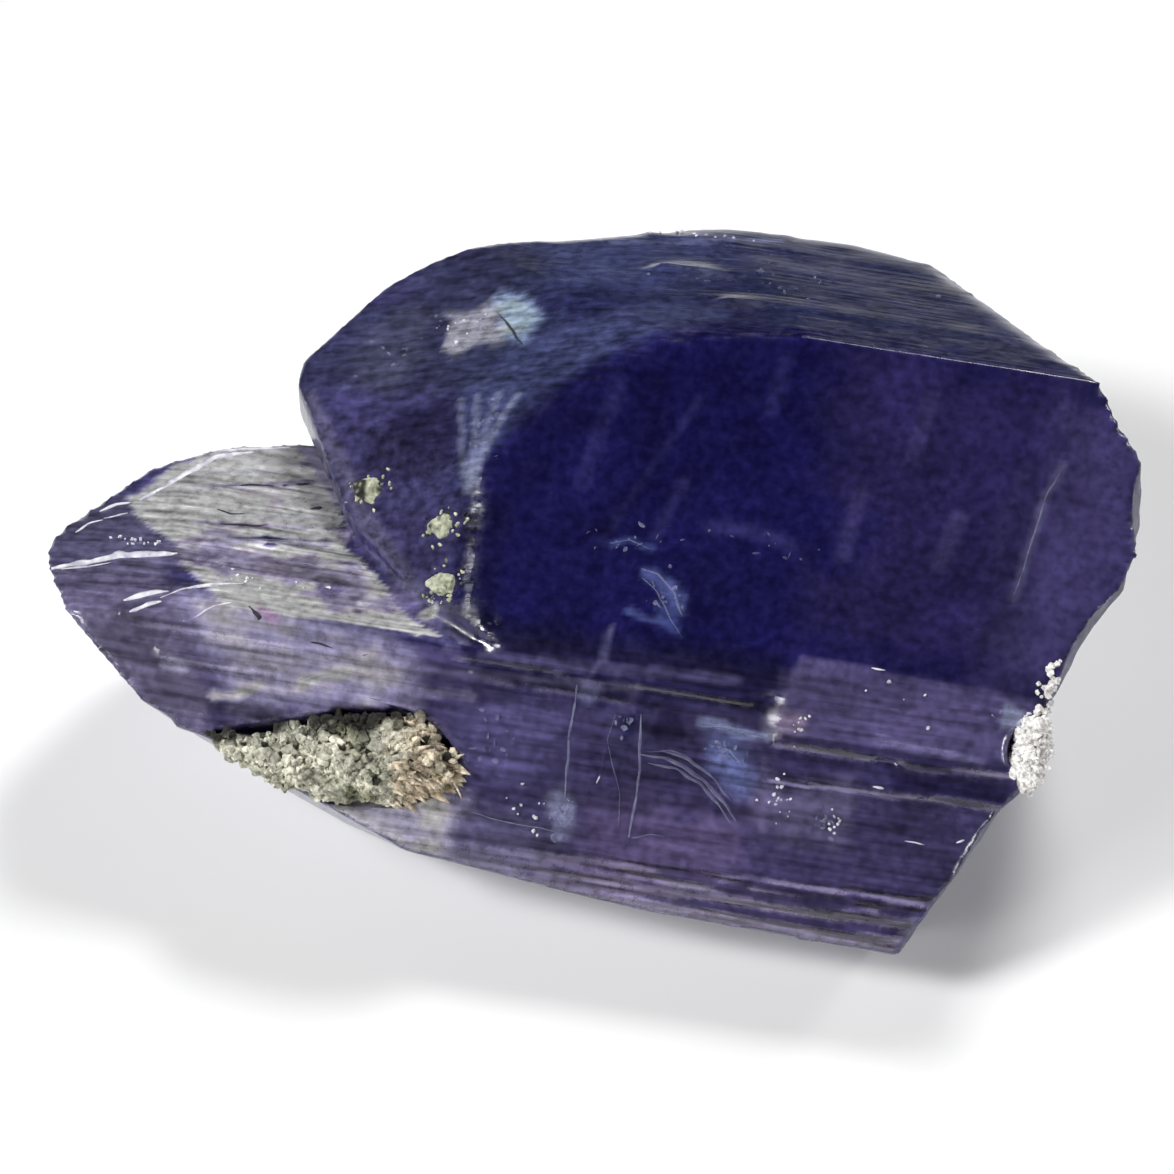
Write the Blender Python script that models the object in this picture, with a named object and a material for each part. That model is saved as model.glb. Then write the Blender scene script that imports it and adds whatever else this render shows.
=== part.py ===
"""Rough tanzanite: two tabular crystals in parallel growth, with a little host rock.

The stone lies on its flat underside. +X runs along the growth direction to the broken
end, +Y is the back, +Z is up, and the origin is the middle of the footprint, on the floor.
Shapes are worked out in millimetres and turned to metres by finish().
"""
import math

import bmesh
import bpy
import numpy as np
from mathutils import Matrix, Vector

MM = 0.001          # one millimetre in metres
GAP = 0.3           # clearance between the crystal and each piece set in it
ROUGH_BLOCK = 30.0  # half size of the block that each crystal is cut from
BREAK_BLOCK = 50.0  # how far out the block that makes the break reaches

# Face corners of the long low crystal, from its chisel tip to the broken end
LONG_HEART = (0.0, -2.0, 4.0)
LONG_CREST = ((-3.4, -4.1, 10.1), (17.6, -3.2, 10.45))
LONG_EDGE = ((-5.3, -9.7, 4.44), (16.0, -8.65, 4.94))
LONG_LIP = ((-5.3, -9.98, 3.92), (4.1, -10.18, 2.92), (16.0, -9.97, 2.49))
LONG_FACES = {
    "front": (LONG_CREST[0], LONG_CREST[1], (2.42, -9.14, 4.8)),
    "top, sloping to the back": ((-10.0, -4.5, 9.35), (0.0, -4.5, 9.35), (-10.0, 5.5, 6.48)),
    "lower bevel": (LONG_EDGE[0], LONG_EDGE[1], LONG_LIP[1]),
    "undercut, left": (LONG_LIP[0], LONG_LIP[1], (2.0, -7.6, 0.0)),
    "undercut, right": (LONG_LIP[1], LONG_LIP[2], (8.0, -7.5, 0.0)),
    "underside": ((0.0, 0.0, 0.0), (10.0, 0.0, 0.0), (0.0, 10.0, 0.0)),
    "back": ((-12.0, 6.35, 6.25), (0.0, 6.6, 6.2), (0.0, 4.6, 0.0)),
    "tip, upper": ((-19.47, -3.47, 8.3), (-14.7, -2.1, 8.66), (-16.0, 3.6, 7.0)),
    "tip, middle": ((-15.6, -5.4, 9.1), (-12.0, -4.9, 9.45), (-14.5, -2.2, 8.68)),
    "tip, nose": ((-19.47, -3.47, 8.3), (-18.28, -5.42, 8.78), (-15.0, -1.5, 1.0)),
    "tip, lower": ((-18.25, -5.5, 8.9), (-14.84, -7.59, 6.85), (-13.5, -3.0, 0.8)),
    "end, lower": ((-14.84, -7.59, 6.85), (-5.75, -9.8, 4.36), (-9.0, -6.0, 0.0)),
    "tip, back 1": ((-19.47, -3.47, 8.3), (-19.83, -1.84, 7.64), (-17.5, -2.2, 3.0)),
    "tip, back 2": ((-19.83, -1.84, 7.64), (-19.38, -0.61, 7.32), (-17.5, -1.6, 3.0)),
    "tip, back 3": ((-19.38, -0.61, 7.32), (-17.45, 2.97, 6.48), (-16.5, 1.0, 2.0)),
    "tip, back 4": ((-17.45, 2.97, 6.48), (-14.92, 5.18, 6.4), (-14.5, 3.0, 2.0)),
    "tip, back 5": ((-14.92, 5.18, 6.4), (-12.2, 6.4, 6.25), (-12.0, 4.2, 2.0)),
    "back right end": ((10.25, 15.95, 10.83), (18.85, 5.4, 13.9), (14.15, 10.3, 5.0)),
}

# Face corners of the broad thick crystal, which lies across the long one and overhangs it
BROAD_HEART = (4.0, 6.0, 8.0)
BROAD_PROUD = 0.14  # how far its narrow front band stands out from the long crystal's front
BROAD_FACES = {
    "table": ((0.0, -4.3, 10.0), (10.0, -4.3, 10.0), (5.0, 7.6, 14.81)),
    "left end": ((-12.4, 6.2, 9.5), (-5.0, -3.35, 9.5), (-4.1, 0.4, 11.9)),
    "left shoulder": ((-12.4, 6.2, 9.5), (-3.9, 1.5, 12.35), (-2.39, 3.94, 13.33)),
    "upper shoulder": ((-2.39, 3.94, 13.33), (1.28, 6.69, 14.44), (-9.0, 12.1, 10.4)),
    "shoulder corner": ((1.6, 6.9, 14.52), (-6.0, 14.0, 10.75), (1.9, 16.6, 10.6)),
    "back bevel": ((0.0, 7.6, 14.81), (10.0, 7.6, 14.81), (5.0, 16.9, 10.41)),
    "left edge 1": ((-12.4, 6.2, 9.5), (-9.3, 1.0, 8.92), (-9.3, 1.0, 5.0)),
    "left edge 2": ((-9.3, 1.0, 8.92), (-5.0, -3.35, 9.5), (-5.0, -3.35, 5.0)),
    "overhang": ((-9.3, 1.0, 8.3), (-11.13, 3.37, 8.3), (-5.83, 5.03, 4.8)),
    "front corner": ((-5.0, -3.35, 9.5), (-3.4, -4.1, 10.1), (-4.4, -3.7, 7.0)),
    "tip": ((-12.4, 6.2, 9.5), (-12.5, 7.45, 9.5), (-12.4, 6.2, 5.0)),
    "girdle 1": ((-12.5, 7.45, 9.5), (-10.26, 11.33, 10.05), (-10.26, 11.33, 5.0)),
    "girdle 2": ((-10.26, 11.33, 10.05), (-8.79, 12.55, 10.45), (-8.79, 12.55, 5.0)),
    "girdle 3": ((-8.79, 12.55, 10.45), (-5.97, 13.97, 10.75), (-5.97, 13.97, 5.0)),
    "girdle 4": ((-5.97, 13.97, 10.75), (1.89, 16.74, 10.5), (1.89, 16.74, 5.0)),
    "girdle 5": ((1.89, 16.74, 10.5), (7.05, 17.05, 10.34), (7.05, 17.05, 5.0)),
    "girdle 6": ((7.05, 17.05, 10.34), (10.09, 16.01, 10.83), (10.09, 16.01, 5.0)),
    "back right end": ((10.25, 15.95, 10.83), (18.85, 5.4, 13.9), (14.15, 10.3, 5.0)),
    "lower left": ((-12.3, 8.2, 8.4), (-10.0, 11.6, 8.6), (-3.5, 4.0, 1.0)),
    "lower back left": ((-8.6, 12.5, 8.6), (1.5, 16.5, 8.6), (-1.0, 8.0, 0.0)),
    "lower back": ((0.0, 16.9, 8.2), (8.0, 16.9, 8.2), (0.0, 9.2, 0.0)),
    "lower back right": ((10.6, 15.3, 8.0), (18.0, 6.3, 9.0), (14.0, 6.0, 0.5)),
    "underside": ((0.0, 0.0, 0.0), (10.0, 0.0, 0.0), (0.0, 10.0, 0.0)),
}
BROAD_STEP = ((-2.1, -4.85, 9.33), (17.5, -4.35, 9.3))  # lower edge of its front band
BROAD_STEP_FALL = (0.0, 2.6, -3.6)                       # way that its step falls back inside

# Thin growth plates on the front face: corners along x and up the slope, and how proud
LEDGE_PLATES = (
    (((8.08, 0.45), (17.8, 0.42), (17.8, -2.0), (7.95, -2.55)), 0.24),
    (((7.9, -2.75), (17.8, -2.2), (17.8, -3.1), (7.9, -3.75)), 0.12),
)
STREAK_PLATES = (
    (((-4.2, -0.9), (7.4, -0.85), (7.2, -1.2), (-4.0, -1.35)), 0.1),
    (((-3.0, -1.65), (3.2, -1.55), (2.8, -1.9), (-3.2, -1.95)), 0.08),
    (((-16.2, -1.9), (-7.4, -1.75), (-7.8, -2.15), (-15.8, -2.2)), 0.1),
    (((-14.6, -3.0), (-7.0, -2.8), (-7.2, -3.15), (-14.2, -3.3)), 0.1),
)
PLATE_ROOT = 0.4            # how deep a plate reaches into the crystal
PLATE_ROOT_STEP = 0.05      # how much deeper each one goes than the last
PLATE_TOP = (0.985, 0.925)  # share of its length and width left at its top

# Groove in the front face below the plates: corners, depth, and how far its cutter stands out
FRONT_GROOVE = (((12.0, -3.42), (16.4, -3.28), (16.4, -3.62), (12.1, -3.72)), 0.12)
GROOVE_CLEAR = 0.5

# Striation ridges on the lower bevel: place down it (0 edge, 1 lip), start x, end x, height
STRIATIONS = (
    (0.10, -3.0, 16.0, 0.07),
    (0.24, 4.2, 16.0, 0.14),
    (0.36, 1.5, 16.0, 0.09),
    (0.47, 6.0, 16.0, 0.15),
    (0.58, -1.0, 16.0, 0.08),
    (0.69, 5.2, 16.0, 0.16),
    (0.80, 2.6, 16.0, 0.12),
    (0.91, -2.0, 16.0, 0.10),
)
STRIATION_HALF_WIDTH = 0.045  # as a share of the bevel's width
RIDGE_ROOT = 0.8              # how deep a ridge reaches into the crystal
RIDGE_TIP = (0.15, 0.12)      # its size at the start, and the share of its length to full size

# Low growth ridges on the long crystal's top: x and y of each end, and height
TOP_RIDGES = (
    ((-13.75, -2.3), (-6.0, -0.7), 0.10),
    ((-14.28, -1.05), (-7.5, 0.4), 0.14),
    ((-14.6, 0.05), (-8.5, 1.35), 0.09),
    ((-13.4, 1.6), (-8.5, 2.5), 0.10),
    ((-14.74, 2.5), (-9.5, 4.1), 0.15),
    ((-15.0, 3.8), (-10.0, 5.0), 0.10),
)
TOP_RIDGE_HALF_WIDTH = 0.28

# Low growth ridges along the back of the broad crystal: face, y, start x, end x, height
BACK_RIDGES = (
    ("back bevel", 10.2, 2.5, 13.0, 0.07),
    ("back bevel", 12.6, -0.5, 11.0, 0.09),
    ("back bevel", 15.3, -0.5, 9.5, 0.07),
    ("lower back", 15.6, 3.6, 8.6, 0.12),
    ("lower back", 14.2, 4.4, 9.2, 0.10),
    ("lower back", 12.6, 5.2, 10.2, 0.14),
)
BACK_RIDGE_HALF_WIDTH = 0.22
BACK_RIDGE_ROOT = 1.2

# Broken end: its x at each height, measured up a plane that leans back like the front face
BREAK_UP = (0.0, 0.76, 0.65)
BREAK_HEIGHTS = (-8.0, -5.9, -4.9, -3.4, -1.6, -0.2, 0.9, 3.2, 3.8, 4.7, 5.6, 7.0, 8.0, 9.8, 13.2, 16.0)
BREAK_X = (13.0, 13.35, 13.7, 14.75, 15.4, 16.2, 17.05, 17.35, 16.9, 17.55, 17.9, 18.3, 19.15, 19.4,
           19.1, 21.5)
BREAK_GRID = (30, 26)      # points across the broken end, along y and z
BREAK_Y = (-13.0, 20.0)    # stretch of them along y
BREAK_Z = (-2.0, 17.0)     # and along z
BREAK_ROUGHNESS = 0.16     # height of its uneven steps
BREAK_STEP_WIDTH = 7.0     # about how far apart the steps are
BREAK_GRAIN_WIDTH = 2.6    # and the finer unevenness on them
BREAK_LEAN = 0.24          # how far it recedes with each millimetre below the top faces
BREAK_LEAN_START = 2.5     # depth below the top faces where it starts to recede
BREAK_BACK_Y = 5.5         # behind this the flat back right end takes over, above its foot
BREAK_BACK_Z = 6.0
BREAK_BACK_RISE = 2.0      # height over which it takes over

# Pieces set in the crystal: centre, half sizes along x, up the face and out of it
FRONT_SLOPE = 45.5         # degrees that the long crystal's front leans back
END_SLOPE = 38.0           # degrees that the broad crystal's left end leans back
CRUST = {"centre": (-7.75, -7.75, 6.2), "half": (4.25, 1.6, 1.0), "roughness": 0.2}
GRAINS = {
    "matrix_grain_1": ((-8.44, 1.49, 9.72), (0.62, 0.46, 0.36)),
    "matrix_grain_2": ((-5.29, -0.58, 10.68), (0.58, 0.50, 0.36)),
    "matrix_grain_3": ((-4.75, -2.68, 10.02), (0.72, 0.42, 0.34)),
}
GRAIN_ROUGHNESS = 0.05
CHIP = {"centre": (16.9, -4.75, 8.75), "half": (0.5, 1.15, 0.5), "roughness": 0.12}

# Etch pits: centre and radius
PITS = (
    ((-3.35, -4.1, 10.2), 0.34),
    ((-2.55, -4.0, 10.25), 0.30),
    ((-9.9, 0.9, 7.95), 0.30),
    ((-12.6, 1.3, 7.8), 0.26),
    ((-8.9, -2.6, 8.95), 0.42),
    ((-7.6, -3.5, 9.2), 0.30),
    ((-13.0, -2.2, 8.8), 0.32),
    ((-14.0, -2.3, 8.75), 0.28),
)
# Crack along the long crystal below its crest: points on the front face, and width
CRACK = ((-11.3, -4.95, 9.45), (-9.72, -5.4, 8.94), (-7.67, -5.53, 8.76), (-5.65, -5.52, 8.71))
CRACK_WIDTH = 0.3
CRACK_TOP = 0.5  # how far its cutter stands out of the face


def clear_scene():
    """Remove every object that the file holds."""
    for item in list(bpy.data.objects):
        bpy.data.objects.remove(item)


def material(name, colour, roughness, transmission=0.0):
    """A plain Principled surface of one colour, given as linear red, green and blue."""
    made = bpy.data.materials.new(name)
    made.use_nodes = True
    shader = made.node_tree.nodes["Principled BSDF"]
    shader.inputs["Base Color"].default_value = (*colour, 1.0)
    shader.inputs["Roughness"].default_value = roughness
    shader.inputs["Metallic"].default_value = 0.0
    shader.inputs["Transmission Weight"].default_value = transmission
    return made


def new_object(name, shape):
    """Turn a bmesh into a scene object and free the bmesh."""
    mesh = bpy.data.meshes.new(name)
    bmesh.ops.recalc_face_normals(shape, faces=shape.faces[:])
    shape.to_mesh(mesh)
    shape.free()
    made = bpy.data.objects.new(name, mesh)
    bpy.context.scene.collection.objects.link(made)
    return made


def mesh_object(name, points, faces):
    """An object from a list of points and faces."""
    shape = bmesh.new()
    corners = [shape.verts.new(point) for point in points]
    for face in faces:
        shape.faces.new([corners[index] for index in face])
    return new_object(name, shape)


def outward(corners, heart):
    """The point and outward direction of the flat face through three corners."""
    first, second, third = (Vector(corner) for corner in corners)
    normal = (second - first).cross(third - first).normalized()
    if normal.dot(Vector(heart) - first) > 0:
        normal.negate()
    return first, normal


def slice_off(shape, point, normal):
    """Cut away what lies beyond a plane, and close the cut with one flat face."""
    parts = shape.verts[:] + shape.edges[:] + shape.faces[:]
    cut = bmesh.ops.bisect_plane(shape, geom=parts, dist=1e-5, plane_co=point, plane_no=normal,
                                 clear_outer=True)
    rim = [item for item in cut["geom_cut"] if isinstance(item, bmesh.types.BMEdge)]
    if rim:
        bmesh.ops.holes_fill(shape, edges=rim, sides=0)


def crystal_solid(name, faces, heart):
    """A convex crystal: a block cut by each of its flat faces in turn."""
    shape = bmesh.new()
    bmesh.ops.create_cube(shape, size=2.0 * ROUGH_BLOCK)
    for corners in faces.values():
        point, normal = outward(corners, heart)
        slice_off(shape, point, normal)
    return new_object(name, shape)


def combine(body, tool, operation):
    """Join or cut a body with a tool by an exact Boolean, then remove the tool."""
    modifier = body.modifiers.new(operation.title(), "BOOLEAN")
    modifier.operation = operation
    modifier.solver = "EXACT"
    modifier.object = tool
    graph = bpy.context.evaluated_depsgraph_get()
    result = bpy.data.meshes.new_from_object(body.evaluated_get(graph))
    body.modifiers.remove(modifier)
    body.data = result
    bpy.data.objects.remove(tool)


def keep_largest(body):
    """Drop the crumbs that a cut leaves loose, and keep the one main solid."""
    shape = bmesh.new()
    shape.from_mesh(body.data)
    bmesh.ops.remove_doubles(shape, verts=shape.verts[:], dist=1e-4)
    left = set(shape.verts)
    pieces = []
    while left:
        front = [left.pop()]
        piece = set(front)
        while front:
            for edge in front.pop().link_edges:
                for corner in edge.verts:
                    if corner in left:
                        left.remove(corner)
                        piece.add(corner)
                        front.append(corner)
        pieces.append(piece)
    pieces.sort(key=len)
    for piece in pieces[:-1]:
        bmesh.ops.delete(shape, geom=list(piece), context="VERTS")
    shape.to_mesh(body.data)
    shape.free()


def lumps(points, wavelength, seed):
    """Smooth seeded noise from -1 to 1: a mean of sine waves in twelve directions."""
    waves = 12
    chance = np.random.default_rng(seed)
    ways = chance.normal(size=(waves, 3))
    ways /= np.linalg.norm(ways, axis=1)[:, None]
    lengths = wavelength * chance.uniform(0.7, 1.5, size=waves)
    phases = chance.uniform(0.0, 2.0 * math.pi, size=waves)
    angles = points @ (2.0 * math.pi * ways / lengths[:, None]).T + phases
    return np.sin(angles).sum(axis=1) / math.sqrt(waves)


def front_axes():
    """Axes of the long crystal's front face: along it, up its slope and out of it."""
    start, out = outward(LONG_FACES["front"], LONG_HEART)
    along = Vector((1.0, 0.0, -out.x / out.z)).normalized()
    return start, along, out.cross(along), out


def plate(name, corners, low, high):
    """A thin slab on the front face, from low to high out of it, with sloping sides."""
    start, along, slope, out = front_axes()
    middle_x = sum(x for x, _ in corners) / len(corners)
    middle_s = sum(s for _, s in corners) / len(corners)
    points = []
    for height, share_x, share_s in ((low, 1.0, 1.0), (high, *PLATE_TOP)):
        for x, s in corners:
            place_x = middle_x + (x - middle_x) * share_x
            place_s = middle_s + (s - middle_s) * share_s
            points.append(start + along * (place_x - start.x) + slope * place_s + out * height)
    count = len(corners)
    sides = [(i, (i + 1) % count, count + (i + 1) % count, count + i) for i in range(count)]
    return mesh_object(name, points, [tuple(range(count)), tuple(range(count, 2 * count))] + sides)


def ridge(name, start, end, across, out, depth):
    """A long bar with a triangular section, tapering to nothing at its start."""
    points = []
    tip_size, tip_share = RIDGE_TIP
    for place, size in ((start, tip_size), (start.lerp(end, tip_share), 1.0), (end, 1.0)):
        points.append(place - across * size - out * depth)
        points.append(place + across * size - out * depth)
        points.append(place + out * size)
    faces = [(0, 2, 1), (6, 7, 8)]
    for near, far in ((0, 3), (3, 6)):
        for i in range(3):
            following = (i + 1) % 3
            faces.append((near + i, near + following, far + following, far + i))
    return mesh_object(name, points, faces)


def on_line(line, x):
    """The point at this x on a line through points in order of x."""
    xs, ys, zs = zip(*line)
    return Vector((x, np.interp(x, xs, ys), np.interp(x, xs, zs)))


def add_bevel_striations(body):
    """Raise the striation ridges that run along the lower bevel."""
    _, out = outward(LONG_FACES["lower bevel"], LONG_HEART)
    for share, start_x, end_x, height in STRIATIONS:
        start = on_line(LONG_EDGE, start_x).lerp(on_line(LONG_LIP, start_x), share)
        end = on_line(LONG_EDGE, end_x).lerp(on_line(LONG_LIP, end_x), share)
        across = (on_line(LONG_LIP, end_x) - on_line(LONG_EDGE, end_x)) * STRIATION_HALF_WIDTH
        bar = ridge("striation", start, end, across, out * height, RIDGE_ROOT)
        combine(body, bar, "UNION")


def add_top_ridges(body):
    """Raise the low growth ridges along the long crystal's top."""
    point, out = outward(LONG_FACES["top, sloping to the back"], LONG_HEART)
    across = out.cross(Vector((1.0, 0.0, 0.0))) * TOP_RIDGE_HALF_WIDTH
    for tip, root, height in TOP_RIDGES:
        ends = [Vector((x, y, point.z - (y - point.y) * out.y / out.z)) for x, y in (tip, root)]
        bar = ridge("growth ridge", ends[0], ends[1], across, out * height, RIDGE_ROOT)
        combine(body, bar, "UNION")


def add_back_ridges(body):
    """Raise the low growth ridges along the back of the broad crystal."""
    for face, y, start_x, end_x, height in BACK_RIDGES:
        point, out = outward(BROAD_FACES[face], BROAD_HEART)
        across = out.cross(Vector((1.0, 0.0, 0.0))) * BACK_RIDGE_HALF_WIDTH
        z = point.z - (y - point.y) * out.y / out.z
        bar = ridge("growth ridge", Vector((start_x, y, z)), Vector((end_x, y, z)),
                    across, out * height, BACK_RIDGE_ROOT)
        combine(body, bar, "UNION")


def height_of(corners, heart, spots):
    """Height of a flat face above each spot, at the middle of the stone's length."""
    point, out = outward(corners, heart)
    return point.z - ((0.0 - point.x) * out.x + (spots[:, 1] - point.y) * out.y) / out.z


def broken_end():
    """A block whose left side is the uneven surface of the break."""
    rows, columns = BREAK_GRID
    y = np.linspace(*BREAK_Y, rows)
    z = np.linspace(*BREAK_Z, columns)
    wide, tall = np.meshgrid(y, z, indexing="ij")
    spots = np.stack([np.zeros(wide.size), wide.ravel(), tall.ravel()], axis=1)
    x = np.interp(spots @ np.array(BREAK_UP), BREAK_HEIGHTS, BREAK_X)
    steps = lumps(spots, BREAK_STEP_WIDTH, 3) * 2.0
    x += BREAK_ROUGHNESS * (steps - np.round(steps) + 0.6 * lumps(spots, BREAK_GRAIN_WIDTH, 5))
    tops = [height_of(face, heart, spots) for face, heart in (
        (BROAD_FACES["table"], BROAD_HEART), (LONG_FACES["front"], LONG_HEART))]
    depth = np.minimum(*tops) - spots[:, 2]
    x -= BREAK_LEAN * np.maximum(depth - BREAK_LEAN_START, 0.0)
    above_foot = np.clip((spots[:, 2] - BREAK_BACK_Z) / BREAK_BACK_RISE, 0.0, 1.0)
    x += above_foot * np.maximum(spots[:, 1] - BREAK_BACK_Y, 0.0)
    near = [(x[i], spots[i, 1], spots[i, 2]) for i in range(len(x))]
    far = [(BREAK_BLOCK, point[1], point[2]) for point in near]
    faces = []
    for i in range(rows - 1):
        for j in range(columns - 1):
            here = i * columns + j
            for a, b, c in ((here, here + 1, here + columns + 1),
                            (here, here + columns + 1, here + columns)):
                faces.append((a, b, c))
                faces.append((a + len(near), c + len(near), b + len(near)))
    rim = list(range(columns))
    rim += [i * columns + columns - 1 for i in range(1, rows)]
    rim += [(rows - 1) * columns + j for j in range(columns - 2, -1, -1)]
    rim += [i * columns for i in range(rows - 2, 0, -1)]
    for a, b in zip(rim, rim[1:] + rim[:1]):
        faces.append((a, a + len(near), b + len(near), b))
    return mesh_object("broken end", near + far, faces)


def set_in(name, centre, half, slope, roughness=0.0, grow=0.0, detail=3, seed=1):
    """A rough lens lying on a face that leans back by slope degrees.

    Each point of a ball is stretched to the half sizes, drawn to a point at the left end,
    grown by the clearance if it is a cutter, and pushed in or out by the noise."""
    shape = bmesh.new()
    bmesh.ops.create_icosphere(shape, subdivisions=detail, radius=1.0)
    ball = np.array([corner.co[:] for corner in shape.verts])
    taper = 1.0 - 0.6 * np.clip(-ball[:, 0], 0.0, 1.0) ** 1.5
    size = np.array(half) + grow
    points = ball * size
    points[:, 1] *= taper
    rough = lumps(points, 1.6, seed) + 0.6 * lumps(points, 0.8, seed + 1)
    points += ball * (roughness * rough)[:, None]
    turn = np.array(Matrix.Rotation(math.radians(slope), 3, "X"))
    points = points @ turn.T + np.array(centre)
    for corner, point in zip(shape.verts, points):
        corner.co = point
    return new_object(name, shape)


def add_pits(body):
    """Sink the etch pits and the crack into the crystal."""
    for centre, radius in PITS:
        shape = bmesh.new()
        bmesh.ops.create_icosphere(shape, subdivisions=1, radius=radius,
                                   matrix=Matrix.Translation(centre))
        combine(body, new_object("pit", shape), "DIFFERENCE")
    _, _, slope, out = front_axes()
    for first, second in zip(CRACK, CRACK[1:]):
        start, end = Vector(second), Vector(first)
        cut = ridge("crack", start, end, slope * CRACK_WIDTH / 2.0, out * -CRACK_WIDTH, CRACK_TOP)
        combine(body, cut, "DIFFERENCE")


def finish(pieces):
    """Turn millimetres to metres, with the middle of the footprint at the origin."""
    corners = np.array([corner.co[:] for piece in pieces for corner in piece.data.vertices])
    low, high = corners.min(axis=0), corners.max(axis=0)
    middle = Vector(((low[0] + high[0]) / 2.0, (low[1] + high[1]) / 2.0, low[2]))
    for piece in pieces:
        piece.data.transform(Matrix.Scale(MM, 4) @ Matrix.Translation(-middle))
        piece.data.update()


def build_crystal():
    """Both crystals joined in one solid, with its plates, striations, break and pits."""
    body = crystal_solid("crystal", LONG_FACES, LONG_HEART)
    for number, (corners, height) in enumerate(STREAK_PLATES):
        root = PLATE_ROOT + PLATE_ROOT_STEP * number
        combine(body, plate("plate", corners, -root, height), "UNION")
    add_top_ridges(body)
    add_bevel_striations(body)

    _, front_out = outward(LONG_FACES["front"], LONG_HEART)
    faces = dict(BROAD_FACES)
    proud = [Vector(corner) + front_out * BROAD_PROUD for corner in LONG_FACES["front"]]
    faces["front band"] = tuple(proud)
    step = [Vector(corner) + front_out * BROAD_PROUD for corner in BROAD_STEP]
    faces["front step"] = (step[0], step[1], step[0] + Vector(BROAD_STEP_FALL))
    broad = crystal_solid("broad", faces, BROAD_HEART)
    combine(body, broad, "UNION")
    add_back_ridges(body)
    for number, (corners, height) in enumerate(LEDGE_PLATES):
        root = PLATE_ROOT + PLATE_ROOT_STEP * number
        combine(body, plate("plate", corners, -root, height), "UNION")
    corners, depth = FRONT_GROOVE
    combine(body, plate("groove", corners, -depth, GROOVE_CLEAR), "DIFFERENCE")
    combine(body, broken_end(), "DIFFERENCE")
    add_pits(body)
    return body


def build_pieces(body):
    """The host rock and the chip, each in a hollow that it fits with the clearance."""
    made = []
    rock = material("matrix_rock", (0.32, 0.30, 0.24), 0.85)
    grain = material("matrix_grain", (0.42, 0.42, 0.26), 0.8)
    calcite = material("calcite", (0.62, 0.57, 0.52), 0.6)

    tool = set_in("hollow", CRUST["centre"], CRUST["half"], FRONT_SLOPE, 0.0,
                  GAP + CRUST["roughness"], 3, 11)
    combine(body, tool, "DIFFERENCE")
    crust = set_in("matrix_crust", CRUST["centre"], CRUST["half"], FRONT_SLOPE,
                   CRUST["roughness"], 0.0, 4, 11)
    crust.data.materials.append(rock)
    made.append(crust)

    for number, (name, (centre, half)) in enumerate(GRAINS.items()):
        tool = set_in("hollow", centre, half, END_SLOPE, 0.0, GAP, 2, 20 + number)
        combine(body, tool, "DIFFERENCE")
        piece = set_in(name, centre, half, END_SLOPE, GRAIN_ROUGHNESS, 0.0, 2, 20 + number)
        piece.data.materials.append(grain)
        made.append(piece)

    tool = set_in("hollow", CHIP["centre"], CHIP["half"], FRONT_SLOPE, 0.0, GAP, 2, 31)
    combine(body, tool, "DIFFERENCE")
    chip = set_in("calcite_chip", CHIP["centre"], CHIP["half"], FRONT_SLOPE,
                  CHIP["roughness"], 0.0, 2, 31)
    chip.data.materials.append(calcite)
    made.append(chip)
    return made


def main():
    """Build the stone and its small pieces."""
    clear_scene()
    body = build_crystal()
    pieces = build_pieces(body)
    keep_largest(body)
    body.data.materials.clear()
    body.data.materials.append(material("tanzanite", (0.034, 0.027, 0.085), 0.15, 0.5))
    finish([body] + pieces)


main()
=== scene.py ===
"""Looks of the rough tanzanite: its crystal, the host rock on it, and the studio around it."""

import math

import bmesh
import bpy
import numpy as np
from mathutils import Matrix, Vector
from mathutils.bvhtree import BVHTree
from mathutils.kdtree import KDTree


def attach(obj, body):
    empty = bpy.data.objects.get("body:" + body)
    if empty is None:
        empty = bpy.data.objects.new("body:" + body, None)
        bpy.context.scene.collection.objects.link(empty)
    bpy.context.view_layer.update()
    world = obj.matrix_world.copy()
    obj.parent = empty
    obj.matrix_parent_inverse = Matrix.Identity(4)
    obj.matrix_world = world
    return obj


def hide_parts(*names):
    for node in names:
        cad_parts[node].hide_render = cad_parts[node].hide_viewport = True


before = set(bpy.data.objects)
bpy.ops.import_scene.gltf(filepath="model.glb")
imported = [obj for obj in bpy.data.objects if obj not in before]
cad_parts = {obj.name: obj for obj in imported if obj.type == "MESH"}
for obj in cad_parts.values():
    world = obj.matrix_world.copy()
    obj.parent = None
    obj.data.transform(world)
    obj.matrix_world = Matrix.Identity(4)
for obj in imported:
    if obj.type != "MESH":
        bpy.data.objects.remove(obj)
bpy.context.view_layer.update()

# Crystal. One piece of blue-violet zoisite: a long low crystal with a chisel tip, and a
# broad thick one grown across it. It is natural and unpolished, striated along its length
# and broken at the right end, and it lies loose on its flat underside.

MM = 0.001
CRYSTAL_GRID = 0.18  # mm, squares of the fine mesh
SAME_POINT = 0.002  # mm, points of a CAD mesh this close are one
ABOVE_ALL = 0.1  # m, higher than the whole stone


def linear(code):
    """An sRGB hex colour as linear red, green, blue and 1: the standard sRGB curve."""
    parts = [int(code[i:i + 2], 16) / 255.0 for i in (1, 3, 5)]
    return (*[p / 12.92 if p <= 0.04045 else ((p + 0.055) / 1.055) ** 2.4 for p in parts], 1.0)


def rgb(code):
    """The same colour as an array of red, green and blue."""
    return np.array(linear(code)[:3])


def cut(values):
    """Values cut off at 0 and 1."""
    return np.clip(values, 0.0, 1.0)


def mix(first, code, share):
    """Colours between these and a hex colour, by a share from 0 to 1 for each point."""
    return first + (rgb(code) - first) * cut(share)[:, None]


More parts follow.
